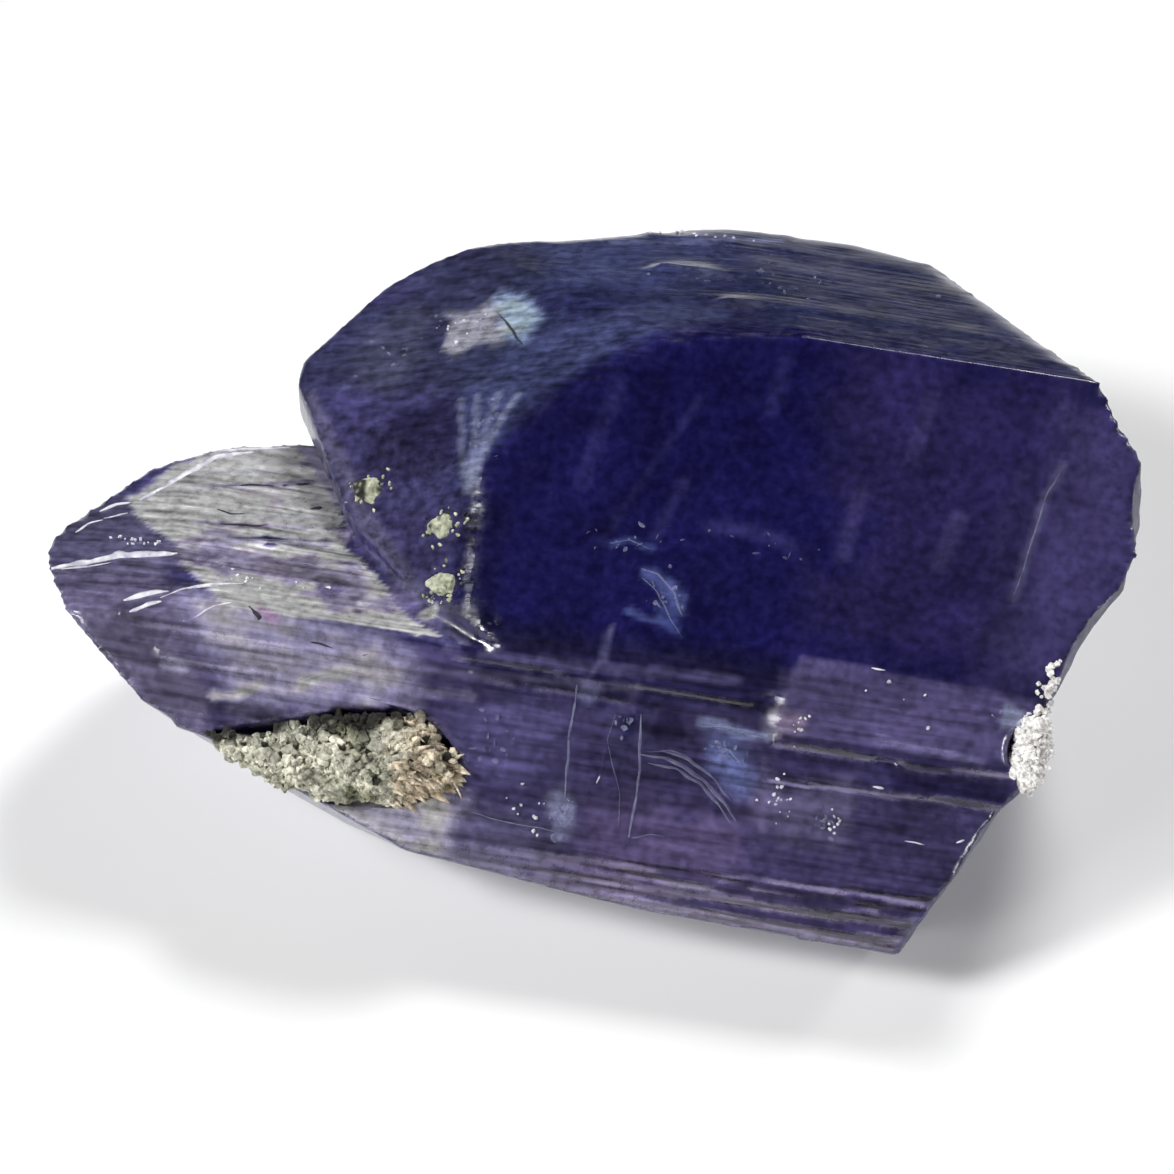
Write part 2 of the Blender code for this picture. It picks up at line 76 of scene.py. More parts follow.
def node(tree, kind, settings=None, links=None):
    """Add a shader node, set its properties and sockets, and link its inputs."""
    made = tree.nodes.new("ShaderNode" + kind)
    for name, value in (settings or {}).items():
        if isinstance(name, str) and hasattr(made, name):
            setattr(made, name, value)
        else:
            made.inputs[name].default_value = value
    for name, source in (links or {}).items():
        tree.links.new(source, made.inputs[name])
    return made


def chance(cells, seed):
    """A number from 0 to 1 for each whole-numbered cell: its corners mixed by large primes."""
    mixed = (cells[..., 0] * 374761393 + cells[..., 1] * 668265263
             + cells[..., 2] * 2147483647 + seed * 1274126177) & 0xFFFFFFFF
    mixed = ((mixed ^ (mixed >> 13)) * 1274126177) & 0xFFFFFFFF
    mixed = ((mixed ^ (mixed >> 16)) * 2246822519) & 0xFFFFFFFF
    return ((mixed ^ (mixed >> 15)) & 0xFFFF) / 65535.0


def noise(points, seed):
    """Smooth noise from -1 to 1: chance values at whole-numbered corners, eased between them."""
    base = np.floor(points).astype(np.int64)
    part = points - base
    ease = part * part * (3.0 - 2.0 * part)
    total = np.zeros(len(points))
    for corner in np.ndindex(2, 2, 2):
        share = np.where(corner, ease, 1.0 - ease).prod(axis=1)
        total += chance(base + np.array(corner), seed) * share
    return total * 2.0 - 1.0


def corners_of(made):
    """The points of a mesh in mm, and its point normals, as arrays."""
    count = len(made.data.vertices)
    points = np.empty(count * 3)
    normals = np.empty(count * 3)
    made.data.vertices.foreach_get("co", points)
    made.data.vertices.foreach_get("normal", normals)
    return points.reshape(-1, 3) / MM, normals.reshape(-1, 3)


def move_points(made, points):
    """Write new places in mm to the points of a mesh."""
    made.data.vertices.foreach_set("co", (points * MM).ravel())
    made.data.update()


def edge_ends(made):
    """The two points of each edge of a mesh, by number."""
    ends = np.empty(len(made.data.edges) * 2, dtype=np.int32)
    made.data.edges.foreach_get("vertices", ends)
    return ends.reshape(-1, 2)


def point_layer(made, name, values):
    """Write a number, or a linear colour, for each point of a mesh as a named attribute."""
    kind, key = "FLOAT", "value"
    if values.ndim == 2:
        kind, key = "FLOAT_COLOR", "color"
        values = np.column_stack([values, np.ones(len(values))])
    layer = made.data.attributes.new(name, kind, "POINT")
    layer.data.foreach_set(key, values.astype(np.float32).ravel())


def fine_mesh(name, source, grid, sharp=0.14, crisp=0.45):
    """A closed mesh of even squares on a CAD solid's own surface.

    The solid is remade on a grid, each point goes to the nearest point of the solid, and
    then, where one is near, to the nearest edge that turns by more than `sharp` radians.
    Only edges that turn by more than `crisp` stay hard in the shading."""
    mark_step, fold_reach = 0.15 * grid * MM, 0.6 * grid * MM
    shape = bmesh.new()
    shape.from_mesh(source.data)
    bmesh.ops.remove_doubles(shape, verts=shape.verts[:], dist=SAME_POINT * MM)
    surface = BVHTree.FromBMesh(shape)
    folds = [[corner.co[:] for corner in edge.verts] for edge in shape.edges
             if edge.calc_face_angle(0.0) > sharp]
    marks = np.concatenate([np.linspace(start, end, max(2, int(math.dist(start, end) / mark_step)))
                            for start, end in folds])
    edges = KDTree(len(marks))
    for number, mark in enumerate(marks):
        edges.insert(mark, number)
    edges.balance()
    mesh = bpy.data.meshes.new(name)
    shape.to_mesh(mesh)
    shape.free()
    made = bpy.data.objects.new(name, mesh)
    bpy.context.scene.collection.objects.link(made)
    remesh = made.modifiers.new("grid", "REMESH")
    remesh.mode = "VOXEL"
    remesh.voxel_size = grid * MM
    graph = bpy.context.evaluated_depsgraph_get()
    made.data = bpy.data.meshes.new_from_object(made.evaluated_get(graph))
    made.modifiers.clear()
    made.data.name = name
    spots, _ = corners_of(made)
    spots = np.array([surface.find_nearest(spot)[0] for spot in spots * MM])
    found = [edges.find(spot) for spot in spots]
    near = np.array([item[2] for item in found]) < fold_reach
    spots[near] = np.array([item[0] for item in found])[near]
    made.data.vertices.foreach_set("co", spots.ravel())
    made.data.update()
    on_fold = near[edge_ends(made)].all(axis=1)
    made.data.polygons.foreach_set("use_smooth", np.ones(len(made.data.polygons), dtype=bool))
    made.data.set_sharp_from_angle(angle=crisp)
    turned = np.empty(len(made.data.edges), dtype=bool)
    made.data.edges.foreach_get("use_edge_sharp", turned)
    made.data.edges.foreach_set("use_edge_sharp", turned & on_fold)
    return made


def top_of(spots):
    """The points on the stone's upper side at these x and y, in mm: a ray sent straight down."""
    hits = [SOLID.ray_cast((x * MM, y * MM, ABOVE_ALL), (0.0, 0.0, -1.0))[0] for x, y in spots]
    return np.array([(np.nan,) * 3 if hit is None else hit[:] for hit in hits]) / MM


def facing(normals, way, spread=0.02):
    """How far each point's face looks this way, from 0 to 1: the cosine, cut off at `spread`."""
    way = np.array(way) / np.linalg.norm(way)
    return cut((normals @ way - 1.0 + spread) / (0.5 * spread))


def away_from(flat, start, end):
    """Each point's distance in mm from the line between two points."""
    side = end - start
    share = cut((flat - start) @ side / (side @ side + 1e-12))
    return np.hypot(*(flat - start - share[:, None] * side).T)


def in_outline(flat, outline, soft, ragged=0.0):
    """How far each point lies inside an outline, from 0 to 1.

    The distance to the nearest side, positive inside, made ragged by noise of 0.9 and
    0.4 mm and eased over `soft` mm."""
    corners = np.array(outline)
    nearest = np.full(len(flat), np.inf)
    crossings = np.zeros(len(flat), dtype=int)
    for start, end in zip(corners, np.roll(corners, -1, axis=0)):
        side = end - start
        nearest = np.minimum(nearest, away_from(flat, start, end))
        level = (start[1] > flat[:, 1]) != (end[1] > flat[:, 1])
        reach = start[0] + (flat[:, 1] - start[1]) * side[0] / (side[1] + 1e-12)
        crossings += level & (flat[:, 0] < reach)
    away = np.where(crossings % 2 == 1, nearest, -nearest)
    if ragged:
        deep = np.column_stack([flat / 0.9, np.zeros(len(flat))])
        away += ragged * (noise(deep, 31) + 0.5 * noise(deep * 2.3, 32))
    part = cut(away / soft + 0.5)
    return part * part * (3.0 - 2.0 * part)


solid_copy = bmesh.new()
solid_copy.from_mesh(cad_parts["crystal"].data)
SOLID = BVHTree.FromBMesh(solid_copy)
solid_copy.free()

crystal = fine_mesh("tanzanite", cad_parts["crystal"], CRYSTAL_GRID)
spots, out = corners_of(crystal)

# The ways its main faces look
FRONT = (0.02, -0.71, 0.70)
TABLE = (0.0, -0.375, 0.927)
GREY_TOP = (0.0, 0.276, 0.961)
BEVEL = (0.0, -0.955, 0.297)
BACK_TOP = (0.0, 0.428, 0.904)

# The solids' hollow for the host rock, which the rock fills only up to its own upper edge
UP_FRONT = (0.0, 0.70, 0.71)
ROCK_MIDDLE = (-7.5, -11.18, 6.2)  # mm
ROCK_HALF = (4.25, 1.6)  # mm, along the stone and up its front
HOLLOW, RING = 1.9, (2.0, 3.2)  # the hollow and the skin around it, in squared half sizes
HOLLOW_DEPTH = 1.9  # mm
FILL_EDGE, FILL_END, FILL_FADE = 0.3, 2.6, 0.8  # mm, how and where the filling ends


def rock_edge(along):
    """How far up the front the host rock reaches from its middle, in mm: it tapers to the left."""
    return np.interp(along, (-4.3, -3.9, -1.4, 0.1, 2.0, 3.2),
                     (-0.35, -0.2, 0.55, 1.17, 1.45, 1.6))


def filled(spots, out):
    """The points with the hollow above the tapered rock filled, level with the front around it.

    The level is the plane that fits the front best on a ring above the hollow."""
    across = (spots - ROCK_MIDDLE) @ np.array(((1.0, 0.0, 0.0), UP_FRONT, FRONT)).T
    along, up, proud = across.T
    reach = (along / ROCK_HALF[0]) ** 2 + (up / ROCK_HALF[1]) ** 2
    ring = ((reach > RING[0]) & (reach < RING[1]) & (up > 0.4) & (facing(out, FRONT) > 0.5)
            & (np.abs(proud) < 1.0))
    flat = np.column_stack([np.ones(len(spots)), along, up])
    level = flat @ np.linalg.lstsq(flat[ring], proud[ring], rcond=None)[0]
    share = cut((up - rock_edge(along)) / FILL_EDGE + 0.5) * cut((FILL_END - along) / FILL_FADE)
    share *= (reach < HOLLOW) & (proud > -HOLLOW_DEPTH) & (proud < level)
    return spots + np.array(FRONT) * (share * (level - proud))[:, None]


# The pits of the three grains, levelled so that the crystal closes around each grain
PIT_REACH = 1.15  # mm from the grain's middle
PIT_EDGE = 0.2  # mm, over which the levelling ends
PIT_RING = (1.0, 1.5)  # mm, the skin around it that gives the level


def skin_around(spots, out, middle):
    """A point on the plane that fits the skin best on a ring around a middle, and its normal."""
    away = np.linalg.norm(spots - middle, axis=1)
    ring = spots[(away > PIT_RING[0]) & (away < PIT_RING[1]) & (out[:, 2] > 0.3)]
    normal = np.linalg.svd(ring - ring.mean(axis=0), full_matrices=False)[2][2]
    return ring.mean(axis=0), normal * np.sign(normal[2])


spots = filled(spots, out)
grain_places = []
for number in (1, 2, 3):
    middle = corners_of(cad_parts[f"matrix_grain_{number}"])[0].mean(axis=0)
    place, normal = skin_around(spots, out, middle)
    near = cut((PIT_REACH - np.linalg.norm(spots - middle, axis=1)) / PIT_EDGE)
    low = np.clip((place - spots) @ normal, 0.0, None)
    spots = spots + (near * low)[:, None] * normal
    grain_places.append((place, normal))
move_points(crystal, spots)
spots, out = corners_of(crystal)

# Where it is worn: outlines of x and y in mm, then how much of the way a point moves in a
# round of wear, and how many rounds
GREY_STEPS = ((-18.0, -3.0), (-14.0, 3.0), (-8.0, 2.0), (-3.0, -9.0), (-12.0, -8.2))
TABLE_LEFT = ((-6.0, -7.6), (-6.0, 1.0), (-3.0, 5.0), (2.0, 6.5), (4.5, 5.0), (3.0, 2.8),
              (-0.6, 0.6), (-2.6, -2.6), (-2.6, -7.6))
LEDGE_END = ((7.4, -7.6), (7.4, -10.6), (9.3, -10.6), (9.3, -7.6))
BACK_STEPS = ((-4.5, 11.5), (-2.5, 5.6), (4.0, 5.0), (16.0, 5.0), (17.5, 6.5), (11.0, 14.0),
              (0.0, 14.0))
FOLD_WEAR, FOLD_ROUNDS = 0.9, 14
SKIN_WEAR, GREY_WEAR, SKIN_ROUNDS = 0.35, 0.5, 6
RUBBED = 0.03  # mm of wear that leaves the skin dull


def worn(made, spots, amount, rounds):
    """The points after wear: in each round every one moves toward the middle of its neighbours."""
    ends = edge_ends(made)
    first, second = ends.T
    count = np.bincount(ends.ravel(), minlength=len(spots))[:, None]
    for _ in range(rounds):
        total = np.column_stack([np.bincount(first, spots[second, i], len(spots))
                                 + np.bincount(second, spots[first, i], len(spots))
                                 for i in range(3)])
        spots = spots + (total / count - spots) * amount[:, None]
    return spots


unworn = spots
upper = cut(out[:, 2] * 3.0 - 0.9)
wear = np.maximum(in_outline(spots[:, :2], BACK_STEPS, 0.6),
                  in_outline(spots[:, :2], TABLE_LEFT, 0.8))
wear = np.maximum(wear, in_outline(spots[:, :2], LEDGE_END, 0.5)) * upper
spots = worn(crystal, spots, FOLD_WEAR * wear, FOLD_ROUNDS)
grey = upper * in_outline(spots[:, :2], GREY_STEPS, 0.6)
spots = worn(crystal, spots, SKIN_WEAR + GREY_WEAR * grey, SKIN_ROUNDS)
rubbed = cut(np.abs(np.sum((spots - unworn) * out, axis=1)) / RUBBED - 0.5)
move_points(crystal, spots)
spots, out = corners_of(crystal)

# Its relief: terraces and fine striations drawn out along the stone, hackle on the break, and
# a slight swell everywhere. The table and the back top are nearly smooth.
STRIATION_PITCH = 0.55  # mm between growth striations
DRAWN_OUT = (0.045, 1.0, 1.0)  # scale of their pattern, which is drawn out along the stone
GROWTH_STEP = 0.05  # mm, height of the growth steps
HACKLE = 0.12  # mm, unevenness of the break
SWELL = 0.012  # mm

along = spots * np.array(DRAWN_OUT)
steps = noise(along / (2.4 * STRIATION_PITCH), 1) * 2.5
fine = noise(along / STRIATION_PITCH, 2) + 0.5 * noise(along / (0.45 * STRIATION_PITCH), 3)
terraces = np.floor(steps) + cut((steps - np.floor(steps)) * 3.0 - 2.0)
on_side = cut(1.0 - np.abs(out[:, 0]) * 1.6)
quiet = np.maximum(facing(out, TABLE), facing(out, BACK_TOP))
relief = GROWTH_STEP * (0.45 * terraces + 0.4 * fine) * on_side * (1.0 - 0.96 * quiet)
broken = cut((out[:, 0] - 0.5) * 4.0)
relief += broken * HACKLE * (noise(spots / 1.6, 5) + 0.6 * noise(spots / 0.7, 6))
relief += SWELL * noise(spots / 1.1, 7)
move_points(crystal, spots + out * relief[:, None])

# Its colours as they look on the stone. By face: colour, way and spread.
FACE_COLOURS = (
    ("#3b3659", FRONT, 0.03),
    ("#24234a", TABLE, 0.012),
    # the grey top's pale colour: frost, and a painted reflection of the lights
    ("#cac4d6", GREY_TOP, 0.009),
    ("#605873", BEVEL, 0.05),
    ("#1d2040", BACK_TOP, 0.009),
)
# By zone: colour, outline of x and y in mm, softness and raggedness in mm, and strength
ZONES = (
    # blue-grey rim of the broad crystal, around its dark core
    ("#1c2146", ((-4.8, -2.7), (-5.8, 2), (-4.6, 11.5), (2, 14), (12, 14), (20, 6), (19.3, 1.3),
     (17.5, 3.5), (13.8, 4.3), (9, 4.3), (6.5, 4.3), (3.4, 4.9), (0.8, 3.1), (-1.7, 1),
     (-2.6, 0.1), (-3.4, -1.5)), 1, 0.3, 0.7),
    ("#464c72", ((-4.2, -2.6), (-5.2, 1.4), (-4.2, 4.6), (-2.6, 5), (0.4, 5.6), (3.4, 6.6),
     (3.4, 5.2), (0.6, 3.6), (-1.9, 1.6), (-2.9, 0.4), (-3.6, -1.5)), 1.1, 0.4, 0.55),
    ("#3d446c", ((-5, 7), (-4.5, 11), (1.5, 12.5), (2.4, 7.4)), 1.8, 0.6, 0.6),
    # lighter left shoulder, above a dim left end
    ("#2b2e44", ((-12.4, 2.7), (-12.2, 4.6), (-10.7, 6.5), (-8.5, 9), (-5, 11), (-3.4, 8),
     (-4.1, 1.8), (-7, 1.3)), 1.6, 0.4, 0.8),
    ("#414354", ((-10.6, 2.6), (-10.4, 4.4), (-8.4, 6.9), (-7.6, 6), (-7.4, 3.2), (-8.6, 1.4)),
     1.2, 0.4, 0.5),
    ("#1d1b36", ((-8.8, -0.9), (-7.8, 0.9), (-5.6, 1.2), (-4.6, -2.1), (-6.6, -2.1)),
     0.8, 0.2, 0.8),
    ("#54516c", ((-12.4, 2.6), (-12, 2), (-8, -3.6), (-4.6, -7.4), (-5.2, -6), (-8, -2.6),
     (-11.4, 2.4)), 0.3, 0.05, 0.8),
    # deep indigo core, and the more violet right part of it
    ("#121040", ((-3.9, -7.6), (-4.3, -5.4), (-4.3, -3.3), (-3.7, -1.5), (-2.6, 0.1), (-1.7, 1),
     (-0.5, 2.3), (0.8, 3.1), (3.4, 4.7), (6.5, 4.9), (9, 4.8), (13.8, 4.7), (17.5, 3.9),
     (21, 1.3), (21, -7), (12, -7.3), (3, -7.5)), 0.9, 0.25, 1),
    ("#231e47", ((9, 4.6), (8.2, 1.2), (9.6, -2), (8.6, -6.3), (20, -7), (20, 1.3), (17.7, 3.6),
     (13.8, 4.4)), 3, 0.9, 0.9),
    ("#3d3760", ((16.4, 3.2), (15.6, -2), (15, -7), (21, -7), (21, 3)), 2.5, 0.4, 0.7),
    ("#0b0936", ((0.6, 1.8), (3.6, 3.4), (7, 3.4), (7.6, 0.4), (5.4, -1.6), (1.4, -2.2)),
     1.6, 0.4, 0.6),
    ("#100e34", ((-4.2, -7.4), (-4.3, -4.2), (-3.4, -3), (-2.4, -3.4), (-2.4, -7.4)),
     0.5, 0.15, 0.7),
    # violet front of the long crystal, paler toward its left end and its foot
    ("#a29dbe", ((-14.4, -7.6), (-12, -7.6), (-5, -8.7), (-4.6, -9.9), (-11.2, -10.7)),
     1.2, 0.3, 0.7),
    ("#312d46", ((-16.5, -9.2), (-12, -10.6), (-9, -10.6), (-8, -13), (-16, -13)), 0.8, 0.2, 0.7),
    ("#b0acc6", ((-7.1, -11.4), (-3.3, -11.8), (-2.4, -12.2), (-2.8, -14), (-7.1, -14)),
     0.9, 0.3, 0.85),
    ("#565270", ((-2.6, -12), (-0.3, -12.3), (1.1, -12.5), (1.1, -14), (-2.9, -14)),
     0.9, 0.3, 0.7),
    ("#100e30", ((-3.4, -7.4), (8.2, -7), (8, -8.4), (2.5, -9), (-2.6, -9.1)), 0.7, 0.25, 0.85),
    ("#2f2a48", ((3.5, -8.8), (8.2, -9), (12, -9.4), (16.5, -9.6), (15, -13), (4.5, -12.8)),
     1.4, 0.3, 0.5),
    ("#2d294c", ((4.2, -10.6), (5.2, -10.4), (6.2, -11), (5.2, -11.6)), 0.6, 0.2, 0.15),
    ("#1f1b36", ((3.8, -9.7), (4, -8.9), (4.9, -9), (5.3, -9.5)), 0.25, 0.06, 0.8),
    ("#171c44", ((2.6, -9.2), (3.3, -9), (3.4, -9.6), (2.9, -9.9)), 0.25, 0.1, 0.7),
    # frosted ledge at the right, and the groove under it, painted dark as the ledge's shade
    ("#504970", ((8.7, -6.9), (17.7, -7.1), (17.6, -8.6), (8.3, -9.15), (8.2, -8.5)),
     0.25, 0.06, 0.8),
    ("#2b264b", ((8.3, -9.2), (17.6, -8.9), (17.6, -9.7), (8.6, -9.9)), 0.35, 0.1, 0.6),
    ("#1c1838", ((12.4, -9.5), (16.6, -9.4), (16.6, -9.7), (12.6, -9.9)), 0.2, 0.05, 0.8),
    ("#8288a4", ((16, -7.3), (16.8, -7.4), (16.8, -7.9), (16, -8)), 0.2, 0.05, 0.8),
    ("#8a7a8a", ((8.3, -9), (8.4, -8.3), (9.3, -8.4), (9.3, -9)), 0.4, 0.3, 0.45),
    ("#655f80", ((7.9, -10.2), (11.1, -10), (11.5, -11), (8.4, -11.4)), 0.9, 0.4, 0.6),
    # tip
    ("#645e79", ((-20.5, -6.9), (-15.5, -5.6), (-13, -8.8), (-12, -11.5), (-17, -11)),
     0.8, 0.2, 0.8),
    ("#514f68", ((-20.5, -7), (-20.5, -4), (-17.6, -2.2), (-15, -4.7), (-14.6, -5.5)),
     0.7, 0.2, 0.8),
    ("#e6e4f2", ((-17.5, -2.2), (-16.4, -1.6), (-15, -1.1), (-14.6, -4), (-14.9, -4.7),
     (-16.1, -4), (-16.9, -3.1)), 0.35, 0.12, 0.9),
    # grey top, frosted, with a painted reflection of the lights on it: brightest toward the
    # back, smudged beside the tip
    ("#dedbea", ((-16.8, -1.6), (-14.6, 2.4), (-12.7, 2.2), (-11.2, 0.2), (-13.4, -0.7)),
     0.9, 0.4, 0.8),
    ("#5d5a6d", ((-14.9, -5.8), (-14.5, -3.2), (-13.4, -1.8), (-12.4, -2.8), (-12.6, -5.6)),
     0.9, 0.4, 0.55),
    ("#9a92aa", ((-15.5, -2.2), (-13.2, -0.4), (-10.8, -0.6), (-9, -3), (-12.4, -3.6)),
     1.2, 0.7, 0.7),
    ("#6c6484", ((-14.6, -5.6), (-13.6, -4.2), (-10.2, -4.6), (-7.9, -4.6), (-4.9, -7.4),
     (-9, -7.2)), 1.5, 0.6, 0.85),
    ("#5a5064", ((-11.8, -5.2), (-10.9, -4.3), (-9.7, -4.8), (-10.6, -5.8)), 0.7, 0.5, 0.6),
    ("#d6d0e0", ((-11.6, -3), (-11.8, -0.9), (-11, -0.9), (-9.3, -3.2)), 0.5, 0.2, 0.7),
    # milky feathers, fractures and flakes inside
    ("#8494b8", ((-5.3, 6.2), (-5.1, 7), (-4.3, 6.8), (-3.2, 5.1), (-3.1, 4.5), (-3.7, 3.7),
     (-4.6, 4.7)), 0.5, 0.25, 0.9),
    ("#9a9aa4", ((-7.2, 5), (-6.9, 5.8), (-5.9, 6.1), (-5.2, 5.6), (-4.9, 3.9), (-6.6, 4.1)),
     0.8, 0.5, 0.75),
    ("#5a64a0", ((2.5, -4.8), (3, -4.8), (3.7, -5.1), (4.2, -5.6), (4.3, -6.1), (4, -6),
     (3.7, -5.7), (3.1, -5.3), (2.7, -5.1)), 0.3, 0.12, 0.6),
    ("#4a5592", ((3.2, -5.8), (3.6, -5.9), (4.1, -6.5), (4.5, -7), (4, -6.8), (3.5, -6.3)),
     0.3, 0.12, 0.5),
    ("#8a8cad", ((0.5, -11.6), (0.9, -11.3), (1.5, -11.5), (1.6, -12.1), (1.2, -12.6),
     (0.8, -12.4)), 0.4, 0.2, 0.6),
    ("#6f7096", ((1.1, -8.8), (1.4, -8.5), (1.8, -8.7), (1.5, -9)), 0.3, 0.15, 0.5),
    ("#5d6696", ((5.7, -9.1), (6.8, -9.3), (7.6, -10.1), (7.3, -10.5), (6.4, -10.2), (5.8, -9.7)),
     0.7, 0.4, 0.8),
    ("#6f5f86", ((2, -11.5), (7.5, -11.3), (8.2, -13), (2, -13)), 1.4, 0.6, 0.25),
    ("#4a466e", ((-3.4, -9.6), (0.4, -9.4), (0.2, -11), (-3, -11.4)), 0.9, 0.5, 0.5),
)
# Soft lines: colour, path of x and y in mm, half width in mm, and strength
STREAKS = (
    ("#7d7795", ((-7.9, -9.2), (-5.4, -9), (-2.9, -8.9), (0.4, -8.7), (3.2, -8.5)), 0.06, 0.2),
    ("#4f4a70", ((-2.6, -8.4), (0.3, -8.3), (3.2, -8.1), (6.7, -7.9)), 0.07, 0.6),
    ("#7d7795", ((-4.6, -9.5), (-2.7, -9.4)), 0.06, 0.5),
    ("#8d96be", ((5.5, -9), (6.2, -9), (7.2, -9.1), (8, -9.1)), 0.05, 0.5),
    ("#6c6a94", ((1.9, -7), (1.8, -7.6), (1.8, -8), (1.5, -8.3)), 0.05, 0.35),
    ("#5a64a0", ((2.4, -6.3), (3, -6.5), (3.6, -6.5)), 0.06, 0.4),
    ("#4a5590", ((1.3, -4.1), (1.9, -3.9), (2.7, -4.1)), 0.06, 0.5),
    ("#6b6788", ((16.6, 1), (16.2, -0.2), (15.9, -2.4), (15.7, -3.8)), 0.10, 0.35),
    ("#7d829c", ((-4.3, -2.9), (-4.9, -1), (-5.4, 1)), 0.08, 0.35),
    ("#7d829c", ((-4.25, -2.8), (-4.5, -0.8), (-4.8, 1.1)), 0.08, 0.4),
    ("#7d829c", ((-4.2, -2.7), (-4.2, -0.7), (-4, 1.1)), 0.10, 0.35),
    ("#7d829c", ((-4.15, -2.6), (-3.8, -0.6), (-3.3, 1)), 0.08, 0.5),
    ("#26254e", ((0.9, -4.1), (2.1, -1.4), (3.4, 1.4)), 0.10, 0.35),
    ("#5c6288", ((-1.8, 11), (1.4, 11.7), (4.3, 12.6)), 0.10, 0.6),
    ("#b0aac4", ((-12, -10.6), (-11.2, -10.5), (-10.3, -10.1)), 0.07, 0.8),
    ("#b0aac4", ((-8.9, -9.9), (-8.1, -9.6), (-7.2, -9.4)), 0.07, 0.8),
    ("#a39eba", ((-13.9, -10), (-13.1, -10)), 0.06, 0.7),
    ("#6d6890", ((11.9, -8.8), (13.5, -8.8), (15.5, -8.9)), 0.06, 0.6),
    ("#322d50", ((-14.8, -1.1), (-13.2, -0.6), (-11.1, 0.1)), 0.06, 0.6),
    ("#322d50", ((-14.4, -3.4), (-12.5, -3.1), (-10.4, -2.6)), 0.06, 0.6),
    ("#322d50", ((-14.2, -4.5), (-11.9, -4), (-9.4, -3.6)), 0.05, 0.6),
    ("#57507c", ((15.3, 0.8), (14.9, -0.8), (14.9, -2.2)), 0.15, 0.1),
    ("#4c4670", ((13.3, -1.4), (12.9, -3)), 0.25, 0.3),
    ("#484270", ((9.7, -1), (9.5, -3.2)), 0.20, 0.3),
    ("#484270", ((11.6, 2.6), (11.3, 0.6)), 0.25, 0.25),
    ("#39376c", ((4.6, -3), (6, -2.9), (7.6, -3.2)), 0.18, 0.35),
    ("#39376c", ((3.4, -1.6), (3, -2.8), (2.8, -3.6)), 0.15, 0.3),
    ("#302e60", ((0.4, 1.4), (0, -0.6), (-0.2, -2.2)), 0.25, 0.3),
    ("#302e60", ((6.2, 3.2), (6, 1.4)), 0.20, 0.3),
    ("#4a3f52", ((-14.7, -4.7), (-14, -4.4)), 0.14, 0.7),
    ("#4a3f52", ((-13.9, -3.9), (-13.2, -3.8)), 0.14, 0.6),
    ("#453a50", ((-12.9, -5), (-12.3, -4.9)), 0.16, 0.5),
    ("#8a6480", ((-10.9, -7.9), (-10.2, -8.3)), 0.14, 0.6),
    ("#26233a", ((-14.1, -5.6), (-14, -5.4)), 0.12, 0.7),
    ("#26233a", ((-13.4, -5.4), (-13.2, -5.3)), 0.12, 0.7),
    ("#3b3850", ((-9.1, -5.8), (-8.8, -5.6)), 0.25, 0.7),
    ("#2b2838", ((-7.7, -6.5), (-7.5, -6.3)), 0.12, 0.8),
    ("#c9cbd6", ((-9.7, -6.3), (-9.5, -6.2)), 0.16, 0.8),
    ("#cfccd8", ((-4.9, -6.9), (-4.7, -6.8)), 0.14, 0.8),
)
LINE_SOFT = 0.06  # mm, soft edge of those lines
SHOWN = 0.37  # share of a surface's colour that shows beside what comes through
BRIGHTEST = 0.95
# Skin roughened by a blow at the foot of the broad crystal: middle of each spot, reach in mm
ROUGH_SPOTS = (((-4.1, -7.2), 0.3), ((-3.4, -7.5), 0.3))
SPOT_FROST = 0.8

tint = rgb("#37345a")
for colour, way, spread in FACE_COLOURS:
    share = facing(out, way, spread)
    if way == GREY_TOP:
        share = share * in_outline(spots[:, :2], GREY_STEPS, 0.6)
    tint = mix(tint, colour, share)
upper = cut(out[:, 2] * 4.0 - 0.6)
for colour, outline, soft, ragged, strength in ZONES:
    share = in_outline(spots[:, :2], outline, soft, ragged) * strength * upper
    tint = mix(tint, colour, share)
for colour, path, half_width, strength in STREAKS:
    away = np.full(len(spots), np.inf)
    for start, end in zip(np.array(path), np.array(path)[1:]):
        away = np.minimum(away, away_from(spots[:, :2], start, end))
    away += LINE_SOFT * noise(spots / 0.4, 33)
    share = cut(1.5 - away / (half_width + LINE_SOFT)) * strength * upper
    tint = mix(tint, colour, share)
# Clouds of 1.7 and 0.6 mm, striations of 0.5 mm on the sides, flecks of 0.9 mm on the table
shade = (1.0 + 0.28 * noise(spots / 1.7, 11) + 0.16 * noise(spots / 0.6, 12)
         + 0.22 * noise(along / 0.5, 13) * on_side * (1.0 - 0.8 * quiet)
         + 0.14 * noise(spots * np.array([1.0, 0.25, 0.25]) / 0.9, 14) * quiet)
tint = np.clip(tint * shade[:, None] / SHOWN, 0.0, BRIGHTEST)
point_layer(crystal, "zone_colour", tint)

# Light and dark streaks along the striations, painted into the colour as their highlights and
# shade, strongest on the bevel's right part
on_grey, on_bevel = facing(out, GREY_TOP, 0.009), facing(out, BEVEL, 0.05)
to_right = np.clip(spots[:, 0] / 8.0, 0.15, 1.0)
striation_shading_amount = (1.0 - 0.85 * quiet) * (0.35 + 1.1 * on_bevel * to_right + 0.35 * on_grey)
point_layer(crystal, "striation", striation_shading_amount)
frost = 0.6 * on_grey + 0.4 * on_bevel + 0.8 * broken + 0.1 * rubbed
for middle, reach in ROUGH_SPOTS:
    near = cut(2.4 - np.hypot(*(spots[:, :2] - middle).T) / reach)
    frost = np.maximum(frost, SPOT_FROST * near)
point_layer(crystal, "frost", cut(frost))
